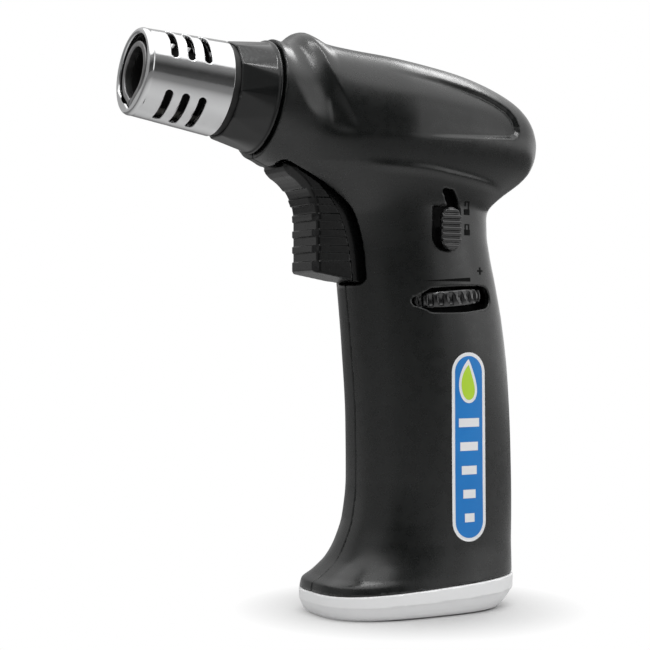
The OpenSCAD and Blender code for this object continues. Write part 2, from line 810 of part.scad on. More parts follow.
// Refill valve: a mouth for the can's nozzle, then a bore for the stem
module fill_valve_body() {
    flange_top_z = tank_floor_z - 2.4;
    color(BRASS) translate([fill_x, 0, 0]) difference() {
        union() {
            translate([0, 0, 1]) cylinder(h = flange_top_z - 1, r = 4.6);
            translate([0, 0, flange_top_z]) cylinder(h = 9.5, r = 3.48);
        }
        cylinder(h = 4.6, r = fill_mouth_r);
        translate([0, 0, 1]) cylinder(h = 20, r = 1.25);
        translate([0, 0, 13]) cylinder(h = 20, r = 2.6);
    }
}

module fill_valve_stem() {
    color([0.92, 0.92, 0.9]) translate([fill_x, 0, 0]) difference() {
        union() {
            translate([0, 0, 4.8]) cylinder(h = 10.5, r = 1.2);
            translate([0, 0, 13.6]) cylinder(h = 1, r = 2.2);
        }
        translate([0, 0, 4]) cylinder(h = 5, r = 0.5);
    }
}

module fill_valve_spring() {
    color(STEEL) translate([fill_x, 0, 14.9]) tube(coil(1.9, 4.2, 3, 12), 0.25, 6);
}

module fill_valve_seal() {
    color([0.03, 0.03, 0.03]) translate([fill_x, 0, 13.02]) ring(2.5, 1.26, 0.5);
}

// ---- fasteners ------------------------------------------------------------------

// Pan-head screw along Z with a cross recess; its head ends at the origin
module screw(length, r, head_r) {
    difference() {
        union() {
            cylinder(h = length, r = r);
            translate([0, 0, -1.8]) cylinder(h = 1.8, r = head_r);
        }
        for (turn = [0, 90]) rotate([0, 0, turn]) translate([0, 0, -1.65])
            cube([head_r * 1.2, 0.6, 1.5], center = true);
    }
}

module shell_screws() {
    color(STEEL) for (p = BOSSES) translate([p[0], -8.02, p[1]]) rotate([-90, 0, 0]) screw(15.5, 1.12, 2.2);
}

module base_screws() {
    color(STEEL) for (x = BASE_SCREWS_X) translate([x, 0, 2.18]) screw(6.5, 1.1, 2.6);
}

shell_left();
shell_right();
base_cap();
nozzle_guard();
front_collar();
spacer_ring();
burner_tube();
flame_grid();
burner_flange();
jet_holder();
gas_jet();
spark_electrode();
electrode_sleeve();
ignition_wire();
trigger();
piezo_plunger();
piezo_body();
piezo_holder();
trigger_spring();
lock_button();
gas_wheel();
outlet_valve_body();
outlet_valve_stem();
stem_seal();
valve_lever();
lever_pin();
gas_hose();
fuel_tank();
tank_floor();
tank_seal();
fill_valve_body();
fill_valve_stem();
fill_valve_spring();
fill_valve_seal();
shell_screws();
base_screws();
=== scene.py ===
"""Looks of the pistol-grip butane torch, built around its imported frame.

Shapes are worked out in millimetres in the row frame: +X is the way the flame points,
+Y the torch's left side, +Z up. Moulded and turned pieces are the zero sets of distance
functions, negative inside, so their walls, slots and engraved lines are real geometry.
"""

import math

import bpy
import numpy as np
from mathutils import Matrix, Vector


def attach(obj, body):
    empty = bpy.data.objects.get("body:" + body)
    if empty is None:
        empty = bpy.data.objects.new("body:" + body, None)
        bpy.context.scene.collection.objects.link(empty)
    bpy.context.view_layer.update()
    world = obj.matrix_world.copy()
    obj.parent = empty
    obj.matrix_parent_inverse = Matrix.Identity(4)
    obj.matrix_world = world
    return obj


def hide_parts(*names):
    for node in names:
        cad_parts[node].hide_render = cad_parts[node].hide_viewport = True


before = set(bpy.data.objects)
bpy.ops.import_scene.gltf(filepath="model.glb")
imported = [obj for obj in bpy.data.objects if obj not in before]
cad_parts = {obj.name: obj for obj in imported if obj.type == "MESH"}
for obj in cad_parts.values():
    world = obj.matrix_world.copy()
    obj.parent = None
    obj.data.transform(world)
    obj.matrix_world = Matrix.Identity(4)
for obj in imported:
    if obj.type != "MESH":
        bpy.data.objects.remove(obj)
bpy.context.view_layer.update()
MM = 0.001


# ---- curves and distance functions ----------------------------------------------


def curve(keys):
    """Smooth curve through (place, value) stations, with no overshoot between them."""
    place, value = np.array(keys, float).T
    gap = np.diff(place)
    rise = np.diff(value) / gap
    slope = np.empty_like(value)
    slope[0], slope[-1] = rise[0], rise[-1]
    for i in range(1, len(place) - 1):
        before, after = rise[i - 1], rise[i]
        if before * after <= 0:
            slope[i] = 0
        else:
            h0, h1 = gap[i - 1], gap[i]
            slope[i] = 3 * (h0 + h1) / ((2 * h1 + h0) / before + (h1 + 2 * h0) / after)

    def at(t):
        t = np.clip(t, place[0], place[-1])
        i = np.clip(np.searchsorted(place, t) - 1, 0, len(gap) - 1)
        h = gap[i]
        s = (t - place[i]) / h
        ends = (2 * s**3 - 3 * s**2 + 1) * value[i] + (3 * s**2 - 2 * s**3) * value[i + 1]
        return ends + (s**3 - 2 * s**2 + s) * h * slope[i] + (s**3 - s**2) * h * slope[i + 1]

    return at


def union(a, b, k=0.0):
    """Both shapes, with a fillet about k wide between them."""
    if k == 0:
        return np.minimum(a, b)
    blend = np.maximum(k - np.abs(a - b), 0) / k
    return np.minimum(a, b) - blend * blend * k / 4


def both(a, b, k=0.0):
    """What two shapes share, with edges rounded by about k."""
    return -union(-a, -b, k)


def ramp(t, start, end):
    """Smooth step from 0 at start to 1 at end."""
    s = np.clip((t - start) / (end - start), 0, 1)
    return s * s * (3 - 2 * s)


def polygon(a, b, points):
    """Distance from (a, b) to a closed outline, negative inside."""
    a, b = np.broadcast_arrays(a, b)
    nearest = np.full(a.shape, 1e9)
    inside = np.zeros(a.shape, bool)
    points = np.array(points, float)
    for p, q in zip(points, np.roll(points, -1, axis=0)):
        ea, eb = q - p
        wa, wb = a - p[0], b - p[1]
        t = np.clip((wa * ea + wb * eb) / (ea * ea + eb * eb), 0, 1)
        nearest = np.minimum(nearest, (wa - t * ea) ** 2 + (wb - t * eb) ** 2)
        if eb != 0:
            inside ^= ((p[1] <= b) != (q[1] <= b)) & (wa < wb * ea / eb)
    return np.where(inside, -1, 1) * np.sqrt(nearest)


def capsule(a, b, start, end, r0, r1=None):
    """Distance to a thick line from start to end, whose radius runs from r0 to r1."""
    r1 = r0 if r1 is None else r1
    ea, eb = end[0] - start[0], end[1] - start[1]
    wa, wb = a - start[0], b - start[1]
    t = np.clip((wa * ea + wb * eb) / (ea * ea + eb * eb), 0, 1)
    return np.hypot(wa - t * ea, wb - t * eb) - (r0 + (r1 - r0) * t)


def capsules(a, b, links):
    """Distance to the nearest of several capsules, each given as (start, end, r0, r1)."""
    return np.minimum.reduce([capsule(a, b, *link) for link in links])


# ---- meshes from distance functions ---------------------------------------------------

# How points slide onto the surface: how often, the longest slide, and the steps that slopes
# and normals are measured with
SLIDES, LONGEST_SLIDE, SLOPE_STEP, NORMAL_STEP = 4, 0.35, 0.02, 0.05


def gradient(f, points, step):
    """Slope of f at each point, by central differences."""
    slopes = []
    for axis in range(3):
        ahead, behind = points.copy(), points.copy()
        ahead[:, axis] += step
        behind[:, axis] -= step
        slopes.append((f(*ahead.T) - f(*behind.T)) / (2 * step))
    return np.stack(slopes, 1)


def surface_nets(f, axes, place=None, wrap=None):
    """Points, quads and normals of the surface f = 0, found on a grid.

    place turns the grid's coordinates into x, y, z; wrap is the axis that closes on itself.
    """
    place = place or (lambda a, b, c: (a, b, c))
    axes = [np.asarray(axis, float) for axis in axes]
    if wrap is not None:
        step = axes[wrap][1] - axes[wrap][0]
        axes[wrap] = np.append(axes[wrap], axes[wrap][-1] + step)
    counts = [len(axis) for axis in axes]
    grid = np.meshgrid(*axes, indexing="ij", sparse=True)
    value = np.broadcast_to(f(*place(*grid)), counts).astype(np.float32)

    def corner(shift):
        return value[tuple(slice(s, n - 1 + s) for s, n in zip(shift, counts))]

    shifts = [(i, j, k) for i in (0, 1) for j in (0, 1) for k in (0, 1)]
    inside = sum((corner(s) < 0).astype(int) for s in shifts)
    crossed = (inside > 0) & (inside < 8)
    cells = np.argwhere(crossed)
    index = np.full(crossed.shape, -1)
    index[crossed] = np.arange(len(cells))

    # Each crossed cell's point: the mean of where the surface meets the cell's edges
    total = np.zeros((len(cells), 3))
    weight = np.zeros(len(cells))
    for start in shifts:
        for axis in range(3):
            if start[axis]:
                continue
            end = tuple(s + (q == axis) for q, s in enumerate(start))
            va, vb = corner(start)[crossed], corner(end)[crossed]
            hit = (va < 0) != (vb < 0)
            share = np.where(hit, va / np.where(hit, va - vb, 1), 0)
            for q in range(3):
                near, far = axes[q][cells[:, q] + start[q]], axes[q][cells[:, q] + end[q]]
                total[:, q] += np.where(hit, near + share * (far - near), 0)
            weight += hit
    points = np.stack(place(*(total / weight[:, None]).T), 1)

    # One quad for each grid edge that the surface crosses
    quads = []
    for axis in range(3):
        near, far = [], []
        for q in range(3):
            if q == axis:
                near.append(slice(0, -1))
                far.append(slice(1, None))
            else:
                near.append(slice(0, -1) if q == wrap else slice(1, -1))
                far.append(near[-1])
        starts_in = value[tuple(near)] < 0
        edges = np.argwhere(starts_in != (value[tuple(far)] < 0))
        if len(edges) == 0:
            continue
        base = edges.copy()
        for q in range(3):
            if q not in (axis, wrap):
                base[:, q] += 1
        u, v = (axis + 1) % 3, (axis + 2) % 3

        def cell(du, dv):
            c = base.copy()
            c[:, u] -= du
            c[:, v] -= dv
            if wrap is not None:
                c[:, wrap] %= counts[wrap] - 1
            return index[tuple(c.T)]

        ring = np.stack([cell(0, 0), cell(1, 0), cell(1, 1), cell(0, 1)], 1)
        back = ~starts_in[tuple(edges.T)]
        ring[back] = ring[back][:, ::-1]
        quads.append(ring)
    quads = np.concatenate(quads)

    # Slide the points onto the surface
    for _ in range(SLIDES):
        slope = gradient(f, points, SLOPE_STEP)
        length2 = np.maximum((slope * slope).sum(1), 1e-3)
        share = np.clip(f(*points.T) / length2, -LONGEST_SLIDE, LONGEST_SLIDE)
        points -= share[:, None] * slope
    normals = gradient(f, points, NORMAL_STEP)
    normals /= np.maximum(np.linalg.norm(normals, axis=1), 1e-9)[:, None]

    p = points[quads]
    faces_out = np.cross(p[:, 2] - p[:, 0], p[:, 3] - p[:, 1])
    if (faces_out * normals[quads[:, 0]]).sum() < 0:
        quads = quads[:, ::-1]
    return points, quads, normals


def piece(name, points, faces, normals, body, slot, material, replaces=()):
    """Mesh object from points in millimetres, on its body and with its finish."""
    mesh = bpy.data.meshes.new(name)
    mesh.from_pydata((np.asarray(points) * MM).tolist(), [], [list(map(int, q)) for q in faces])
    mesh.polygons.foreach_set("use_smooth", [True] * len(mesh.polygons))
    mesh.normals_split_custom_set_from_vertices(normals.tolist())
    mesh.materials.append(material)
    shape = bpy.data.objects.new(name, mesh)
    bpy.context.scene.collection.objects.link(shape)
    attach(shape, body)
    if replaces:
        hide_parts(*replaces)


def solid(name, f, axes, body, slot, material, replaces=(), place=None, wrap=None):
    """Mesh object of the surface f = 0, found on the grid of the three axes."""
    piece(name, *surface_nets(f, axes, place, wrap), body, slot, material, replaces)


def span(start, end, step):
    """Grid stations from start to end, about step apart."""
    return np.linspace(start, end, int(round((end - start) / step)) + 1)


# ---- materials ----------------------------------------------------------------------


class Nodes:
    """Short names for making and linking one material's nodes."""

    def __init__(self, name):
        self.material = bpy.data.materials.new(name)
        self.material.use_nodes = True
        self.tree = self.material.node_tree
        self.shader = self.tree.nodes["Principled BSDF"]

    def add(self, kind, **settings):
        node = self.tree.nodes.new("ShaderNode" + kind)
        for key, setting in settings.items():
            if key[0].isupper():
                node.inputs[key.replace("_", " ")].default_value = setting
            else:
                setattr(node, key, setting)
        return node

    def link(self, output, socket):
        self.tree.links.new(output, socket)


def noise(nodes, coordinates, scale, detail, roughness=0.55):
    """Output of a noise texture, about 0 to 1."""
    node = nodes.add("TexNoise", Scale=scale, Detail=detail, Roughness=roughness)
    nodes.link(coordinates, node.inputs["Vector"])
    return node.outputs["Fac"]


def spread(nodes, value, low, high, to_low=0.0, to_high=1.0):
    """Output that runs from to_low to to_high as value runs from low to high."""
    node = nodes.add("MapRange", From_Min=low, From_Max=high, To_Min=to_low, To_Max=to_high)
    nodes.link(value, node.inputs["Value"])
    return node.outputs["Result"]


def mixed(nodes, share, first, second):
    """Colour between two colours or outputs."""
    node = nodes.add("Mix", data_type="RGBA")
    nodes.link(share, node.inputs[0])
    for socket, colour in ((node.inputs[6], first), (node.inputs[7], second)):
        if isinstance(colour, tuple):
            socket.default_value = (*colour, 1)
        else:
            nodes.link(colour, socket)
    return node.outputs[2]


COAT_ROUGHNESS = 0.06


def finish(name, dark, light, rough, grain, bump, metallic=0.0, coat=0.0, edge_wear_and_glint=None, patch=45,
           specular=0.5):
    """Moulded, painted or turned surface: cloudy colour, uneven gloss, fine grain, lighter edges:
    worn edges, and on the control plastic a painted highlight.

    rough is the range of its roughness; grain is the size of the finest marks and bump their
    height, both in millimetres; patch is how many clouds of colour there are to a metre.
    """
    nodes = Nodes(name)
    shader = nodes.shader
    where = nodes.add("TexCoord").outputs["Object"]
    fine = noise(nodes, where, 1 / (grain * MM), 3)
    cloud = noise(nodes, where, patch, 5, 0.6)
    streak = noise(nodes, where, patch * 7, 4, 0.6)
    colour = mixed(nodes, spread(nodes, cloud, 0.3, 0.7), dark, light)
    # Lighter colour on edges: wear, and on the control plastic a painted highlight standing in for
    # glints on the ribs of the wheel and the lock
    if edge_wear_and_glint:
        edge = spread(nodes, nodes.add("NewGeometry").outputs["Pointiness"], 0.56, 0.66)
        wear_and_glint_share = nodes.add("Math", operation="MULTIPLY")
        nodes.link(edge, wear_and_glint_share.inputs[0])
        nodes.link(spread(nodes, streak, 0.42, 0.62, 0.1, 0.8), wear_and_glint_share.inputs[1])
        colour = mixed(nodes, wear_and_glint_share.outputs[0], colour, edge_wear_and_glint)
    nodes.link(colour, shader.inputs["Base Color"])
    nodes.link(spread(nodes, streak, 0.3, 0.7, *rough), shader.inputs["Roughness"])
    relief = nodes.add("Bump", Strength=1.0, Distance=bump * MM)
    nodes.link(fine, relief.inputs["Height"])
    nodes.link(relief.outputs["Normal"], shader.inputs["Normal"])
    shader.inputs["Metallic"].default_value = metallic
    shader.inputs["Specular IOR Level"].default_value = specular
    shader.inputs["Coat Weight"].default_value = coat
    shader.inputs["Coat Roughness"].default_value = COAT_ROUGHNESS
    return nodes.material


FINISHES = {
    "shell_plastic": finish("moulded_black", (0.0022, 0.0029, 0.0026), (0.004, 0.0048, 0.0045),
                            (0.24, 0.32), 0.35, 0.005, edge_wear_and_glint=(0.03, 0.032, 0.032), specular=0.7),
    "collar_plastic": finish("gloss_black", (0.005, 0.0055, 0.0055), (0.009, 0.0095, 0.0095),
                             (0.12, 0.2), 0.5, 0.003, coat=0.08, edge_wear_and_glint=(0.04, 0.042, 0.042)),
    # Its light edge colour is a painted highlight: glints on the ribs of the gas wheel and the lock
    "control_plastic": finish("control_black", (0.003, 0.003, 0.0032), (0.0055, 0.0055, 0.0058),
                              (0.1, 0.18), 0.25, 0.004, coat=0.6, edge_wear_and_glint=(0.16, 0.16, 0.162),
                              specular=0.7),
    "black_ring": finish("ring_black", (0.004, 0.004, 0.004), (0.009, 0.009, 0.009),
                         (0.5, 0.65), 0.3, 0.01),
    "inner_plastic": finish("inner_grey", (0.02, 0.02, 0.022), (0.035, 0.035, 0.037),
                            (0.45, 0.6), 0.3, 0.01),
    "white_plastic": finish("inner_white", (0.62, 0.62, 0.58), (0.75, 0.75, 0.72),
                            (0.35, 0.5), 0.3, 0.008),
    "tank_plastic": finish("tank_smoke", (0.40, 0.45, 0.49), (0.5, 0.55, 0.6),
                           (0.12, 0.22), 0.5, 0.006),
    "polished_metal": finish("guard_polish", (0.7, 0.705, 0.71), (0.78, 0.78, 0.785),
                             (0.1, 0.16), 0.16, 0.0012, metallic=1.0),
    "base_silver": finish("base_plating", (0.83, 0.832, 0.836), (0.89, 0.892, 0.896),
                          (0.34, 0.46), 0.3, 0.002, metallic=0.2),
    "burner_grey": finish("burner_steel", (0.20, 0.195, 0.195), (0.42, 0.42, 0.425),
                          (0.3, 0.45), 0.25, 0.006, metallic=1.0, patch=160, edge_wear_and_glint=(0.6, 0.6, 0.61)),
    "steel": finish("plain_steel", (0.42, 0.42, 0.43), (0.58, 0.58, 0.6),
                    (0.25, 0.4), 0.2, 0.004, metallic=1.0),
    "screw_steel": finish("screw_zinc", (0.2, 0.2, 0.21), (0.36, 0.36, 0.37),
                          (0.3, 0.42), 0.15, 0.006, metallic=1.0, edge_wear_and_glint=(0.6, 0.6, 0.6)),
    "brass": finish("turned_brass", (0.55, 0.38, 0.13), (0.74, 0.55, 0.24),
                    (0.2, 0.34), 0.2, 0.004, metallic=1.0),
    "ceramic": finish("ceramic_white", (0.62, 0.6, 0.55), (0.8, 0.79, 0.75),
                      (0.3, 0.5), 0.3, 0.01),
    "seal_rubber": finish("seal_black", (0.006, 0.006, 0.006), (0.014, 0.014, 0.014),
                          (0.6, 0.8), 0.2, 0.015),
    "hose_silicone": finish("hose_milky", (0.5, 0.5, 0.46), (0.62, 0.62, 0.58),
                            (0.3, 0.45), 0.4, 0.006),
    "wire_jacket": finish("wire_red", (0.25, 0.012, 0.01), (0.36, 0.02, 0.016),
                          (0.35, 0.5), 0.3, 0.006),
}
# Near-black for the guard's lining, the burner's barrel and a sheet in the burner's bore: painted
# shade inside the nozzle
INSIDE_SHADE_BLACK = finish("inside_painted_shade", (0.003, 0.003, 0.003), (0.008, 0.0075, 0.007),
              (0.55, 0.75), 0.25, 0.01, specular=0.25)
# Near-black for the wall in the wheel's window and the plate behind the lock's well: painted shade
SHADE_WALL_BLACK = finish("painted_shade_black", (0.002, 0.002, 0.002), (0.004, 0.004, 0.004),
                    (0.5, 0.7), 0.3, 0.01, specular=0.2)
# Darker copy of the control plastic for the trigger: the darker colour is painted shade of the
# trigger sunk in its slot
TRIGGER_SHADED_BLACK = finish("trigger_black_painted_shade", (0.0012, 0.0014, 0.0014), (0.0028, 0.003, 0.003),
                       (0.2, 0.3), 0.25, 0.008, edge_wear_and_glint=(0.03, 0.03, 0.031), specular=0.4)
PRINT_WHITE = finish("print_white", (0.78, 0.79, 0.8), (0.86, 0.86, 0.87), (0.3, 0.42), 0.3, 0.004)
PRINT_BLUE = finish("print_blue", (0.006, 0.17, 0.52), (0.01, 0.21, 0.6), (0.28, 0.4), 0.3, 0.004)
PRINT_GREEN = finish("print_green", (0.42, 0.66, 0.03), (0.52, 0.76, 0.05),
                     (0.28, 0.4), 0.3, 0.004)
# Near-black for the moulded signs: painted shade, standing in for the shade in engraved marks
SIGN_SHADE_BLACK = finish("sign_painted_shade", (0.0008, 0.001, 0.0009), (0.0015, 0.0018, 0.0017),
                    (0.5, 0.6), 0.2, 0.006, specular=0.1)
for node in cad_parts.values():
    slot = node.data.materials[0].name.split(".")[0]
    node.data.materials[0] = FINISHES[slot]


# ---- the moulded body ---------------------------------------------------------------

GRIP_FRONT = curve([
    (7, 31.8), (9, 31.4), (11, 28.4), (15, 23.9), (20, 21), (26, 18.9), (37, 17.7), (53, 17.9),
    (75, 19.4), (91, 21), (100, 22), (110, 25), (118, 31.6), (124, 40)])
GRIP_REAR = curve([
    (7, -29.6), (15, -29.9), (31, -30.2), (45, -30), (66, -29), (81, -27.2), (91, -25.3),
    (100, -23.4), (106, -22.6), (112, -22.6), (117, -24.5), (124, -30)])
GRIP_HALF = curve([
    (7, 19.6), (12, 18.6), (20, 17.6), (40, 17.2), (70, 17), (90, 16.6), (105, 16.2), (124, 16.2)])
GRIP_FULLNESS = curve([(7, 2.9), (20, 2.7), (60, 2.6), (90, 2.5), (124, 2.3)])
HEAD_TOP = curve([
    (-38.4, 132), (-38, 135.8), (-35.8, 140.4), (-30.6, 144.9), (-22.8, 148.6), (-12.4, 151.8),
    (-3, 153.6), (10, 155.4), (23, 156.6), (30, 157.6), (34, 159.4), (37.2, 160.3), (40, 158.9),
    (43, 157.4), (47, 157.3), (60, 156)])
HEAD_BOTTOM = curve([
    (-38.4, 130), (-38, 126.8), (-35.4, 122.6), (-30, 119), (-20, 115.7), (0, 114.5), (20, 116),
    (36, 120.5), (43, 123), (51, 126.4), (60, 130)])
HEAD_HALF = curve([
    (-38.4, 1), (-37.2, 8), (-34, 13), (-28, 17), (-20, 19.2), (-8, 20.2), (8, 20), (20, 18.6),
    (32, 17), (40, 16), (47, 15.6), (60, 14)])
HEAD_FULLNESS = 2.15

WALL = 2.0
BASE_H = 8.1
SEAM_SLOPE = -0.052
SEAM_GAP = 0.08
SPLIT_GAP = 0.02

# Places along the nozzle's axis, measured back from the mouth
MOUTH_X, MOUTH_Z, TILT = 84.25, 146.2, math.radians(7.3)
GUARD_LENGTH = 23.9
COLLAR_S, COLLAR_REAR_S, HOOD_S = 25.6, 36.6, 36.95
BURNER_REAR_S = 41.65
HOOD_R = 15.7
COLLAR_FLATS = 11

# The valley behind the hood, the scooped panel and the crease under the head, in side view.
# VALLEY_X is the valley's rear edge by height; the valley lies in front of it.
VALLEY_X = curve([
    (126, 22.8), (131, 25.1), (134.6, 27.1), (139, 29.3), (144.5, 32.0), (150.8, 34.3),
    (156.4, 35.4), (161, 36.2)])
VALLEY_DEPTH, VALLEY_WIDTH = 1.5, 12
PANEL = [
    (22, 151.4), (8.7, 149.6), (-0.9, 148.3), (-8.4, 146.6), (-14.5, 145.0), (-19.2, 143.2),
    (-22.8, 141.2), (-24.9, 138.9), (-25.7, 136.4), (-25.6, 134.4), (-24.6, 132.8), (-22.6, 131.9),
    (-13.8, 131.4), (-5, 131.1), (5.2, 130.7), (22, 130.5)]
PANEL_DEPTH = 1.15
CREASE_Z = curve([
    (-24, 117.6), (-14.6, 119.6), (-2.9, 121.4), (6.3, 122.6), (16.8, 123.1), (24, 123.4)])
CREASE_HEIGHT = 0.4

TRIGGER_SLOT = [(16, 91.4), (44.6, 91.4), (44.6, 126.5), (43, 128), (16, 128)]
TRIGGER_SLOT_HALF = 8.2
GUIDE = [(12, 91.4), (40, 91.4), (40, 122.5), (20, 122.5), (12, 116.5)]
LEDGE = [(12.6, 89.6), (24, 89.6), (24, 91.4), (12.6, 91.4)]
GUIDE_INNER, GUIDE_OUTER = 8.1, 9.3
BOSSES = [(-27.5, 132), (14, 147.5), (20.2, 12.6), (12.2, 79.5), (-22.2, 79.5)]
BOSS_R, BOSS_BORE_R, COUNTERBORE_R = 3.4, 1.25, 2.4

WHEEL_X, WHEEL_Y, WHEEL_Z, WHEEL_TILT = -4.5, 2.0, 87.5, math.radians(4.7)
WHEEL_R, WHEEL_T, WHEEL_RIBS = 15.5, 4.7, 32

# The wheel's window and the lock's well in the left shell, in side view
WHEEL_WINDOW = [
    ((-14.4, 87.7), (-8, 87.3), 3.1, 3.5), ((-8, 87.3), (2, 86.95), 3.5, 3.3),
    ((2, 86.95), (7.3, 86.6), 3.3, 1.2)]
LOCK_WELL = [
    ((-2.1, 105.1), (-2.1, 108.6), 4.4, 4.4), ((-4.3, 112), (-4.3, 113.9), 1.8, 1.8),
    ((-4.3, 113.9), (-3.1, 115.9), 1.8, 1.7), ((-3.1, 115.9), (-1.3, 117.1), 1.7, 0.75)]
LOCK_WELL_TOP = [(-6.5, 108), (2.3, 108), (2.3, 112.7), (-6.5, 112.7)]


def along_nozzle(x, z):
    """(distance back from the mouth, height over the nozzle's axis)."""
    dx, dz = x - MOUTH_X, z - MOUTH_Z
    back = -(dx * math.cos(TILT) + dz * math.sin(TILT))
    return back, -dx * math.sin(TILT) + dz * math.cos(TILT)


def along_wheel(x, z):
    """(across the wheel's axis, along it) in side view."""
    dx, dz = x - WHEEL_X, z - WHEEL_Z
    across = dx * math.cos(WHEEL_TILT) - dz * math.sin(WHEEL_TILT)
    return across, dx * math.sin(WHEEL_TILT) + dz * math.cos(WHEEL_TILT)


def rounded_box(across, up, half_across, half_up, fullness):
    """Section like a rounded rectangle, as a distance."""
    q = (np.abs(across / half_across) ** fullness
         + np.abs(up / half_up) ** fullness) ** (1 / fullness)
    return (q - 1) * np.minimum(half_across, half_up) * 0.98


def body_form(x, y, z):
    """Outside of the closed body, before any opening is cut."""
    front, rear = GRIP_FRONT(z), GRIP_REAR(z)
    middle, reach = (front + rear) / 2, (front - rear) / 2
    grip = rounded_box(x - middle, y, reach, GRIP_HALF(z), GRIP_FULLNESS(z))
    grip = both(grip, both(5 - z, z - 128, 2), 1.5)
    top, bottom = HEAD_TOP(x), HEAD_BOTTOM(x)
    head = rounded_box(y, z - (top + bottom) / 2, HEAD_HALF(x), (top - bottom) / 2, HEAD_FULLNESS)
    head = both(head, both(-38.4 - x, x - 52, 0.5), 0.8)
    s, u = along_nozzle(x, z)
    hood = both(np.hypot(u, y) - HOOD_R, s - HOOD_S - 14, 1)
    form = union(union(grip, head, 7), hood, 2.5)
    form = both(form, HOOD_S - s, 0.35)

    # Steep just in front of the edge, deepest a third of the way across, then a long way up.
    # 0.92 turns a step along x into one square to the edge, and 6.75 makes the depth 1 at most.
    ahead = (x - VALLEY_X(z)) * 0.92
    across = np.clip((ahead + np.hypot(ahead, 0.35)) / 2 / VALLEY_WIDTH, 0, 1)
    fade = ramp(z, 129, 140) * (1 - 0.5 * ramp(z, 152, 160))
    form = form + VALLEY_DEPTH * fade * 6.75 * across * (1 - across) ** 2

    scoop = ramp(-polygon(x, z, PANEL), -0.1, 1.7)
    form = form + PANEL_DEPTH * scoop * (1 - ramp(x, -16, 19))
    ridge = np.exp(-(((z - CREASE_Z(x)) / 1.1) ** 2)) * (1 - ramp(x, 16, 26)) * ramp(x, -24, -14)
    return form - CREASE_HEIGHT * ridge


def half_shell(side):
    """One moulded half; side is 1 for the left one and -1 for the right one."""

    def shell(x, y, z):
        form = body_form(x, y, z)
        hull = both(form, -(form + WALL), 0.4)
        s, _ = along_nozzle(x, z)
        hull = both(hull, HOOD_S - s, 0.3)
        slot = both(np.abs(y) - TRIGGER_SLOT_HALF, polygon(x, z, TRIGGER_SLOT), 3)
        hull = both(hull, -slot, 0.7)
        room = form + WALL - 0.4
        rails = both(np.abs(y) - GUIDE_OUTER, GUIDE_INNER - np.abs(y), 0.2)
        guide = both(rails, polygon(x, z, GUIDE), 0.3)
        ledge = both(np.abs(y) - GUIDE_OUTER, polygon(x, z, LEDGE), 0.3)
        hull = union(hull, both(union(guide, ledge), room, 0.3), 0.3)
        for bx, bz in BOSSES:
            from_boss = np.hypot(x - bx, z - bz)
            hull = union(hull, both(from_boss - BOSS_R, room, 0.3), 0.3)
            if side > 0:
                hull = both(hull, -both(from_boss - BOSS_BORE_R, y - 9, 0.1), 0.1)
            else:
                hull = both(hull, -(from_boss - BOSS_BORE_R), 0.1)
                hull = both(hull, -both(from_boss - COUNTERBORE_R, y + 8, 0.2), 0.3)
        if side > 0:
            across, along = along_wheel(x, z)
            window = both(capsules(x, z, WHEEL_WINDOW), 11 - y, 0.3)
            hull = both(hull, -window, 0.6)
            rim = both(np.hypot(across, y - WHEEL_Y) - WHEEL_R - 0.4,
                       np.abs(along) - WHEEL_T / 2 - 0.5)
            hull = both(hull, -rim, 0.2)
            well = np.minimum(capsules(x, z, LOCK_WELL), polygon(x, z, LOCK_WELL_TOP))
            hull = both(hull, -both(well, 10 - y), 0.5)
        hull = both(hull, BASE_H + SEAM_SLOPE * x + SEAM_GAP - z, 0.5)
        return both(hull, SPLIT_GAP - side * y, 0.45)

    return shell


STEP = 0.6
for side, name in ((1, "shell_left"), (-1, "shell_right")):
    width = np.sort(span(-0.3, 21.6, STEP) * side)
    solid(name + "_skin", half_shell(side), (span(-39.6, 53, STEP), width, span(6, 161.4, STEP)),
          "handle", "shell_plastic", FINISHES["shell_plastic"], [name])


# ---- the base -----------------------------------------------------------------------

# By height: how far the outline is drawn in at the front, the sides and the rear, and how much
# of the seam's slope the height has taken up
BASE_HEIGHT = [0, 0.35, 1, 2.2, 4, 4.5, 8.1]
BASE_DRAWN_FRONT = [2.2, 1.7, 1.3, 0.8, 0.2, 0.03, 0]
BASE_DRAWN_SIDE = [2.5, 1.9, 1.4, 0.9, 0.3, 0.05, 0]
BASE_DRAWN_REAR = [5.6, 4.6, 3.7, 2.2, 0.5, 0.06, 0]
BASE_SHARE = [0, 0, 0.1, 0.3, 0.5, 0.6, 1]
BASE_FRONT_X, BASE_REAR_X, BASE_HALF, BASE_FULLNESS = 32.0, -29.8, 19.6, 2.9
BASE_SCREWS_X = (-22, 22)
SCREW_POST_R, SCREW_HOLE_R, SCREW_HEAD_R = 4, 1.4, 3
FILL_POST_R, FILL_HOLE_R = 8, 5.2
FILL_X = -8.0
BASE_WALL = 1.8
BASE_GRID = (span(-31, 33.2, 0.65), span(-20.4, 20.4, 0.65), span(-0.5, 10.2, 0.4))


def base_form(x, y, z, inset):
    """Distance to the outline seen from above, and the height levelled to the seam's slope."""
    share = np.interp(z, BASE_HEIGHT, BASE_SHARE)
    level = z - SEAM_SLOPE * x * share
    front = BASE_FRONT_X - np.interp(level, BASE_HEIGHT, BASE_DRAWN_FRONT) - inset
    half = BASE_HALF - np.interp(level, BASE_HEIGHT, BASE_DRAWN_SIDE) - inset
    rear = BASE_REAR_X + np.interp(level, BASE_HEIGHT, BASE_DRAWN_REAR) + inset
    plan = rounded_box(x - (front + rear) / 2, y, (front - rear) / 2, half, BASE_FULLNESS)
    return plan, level


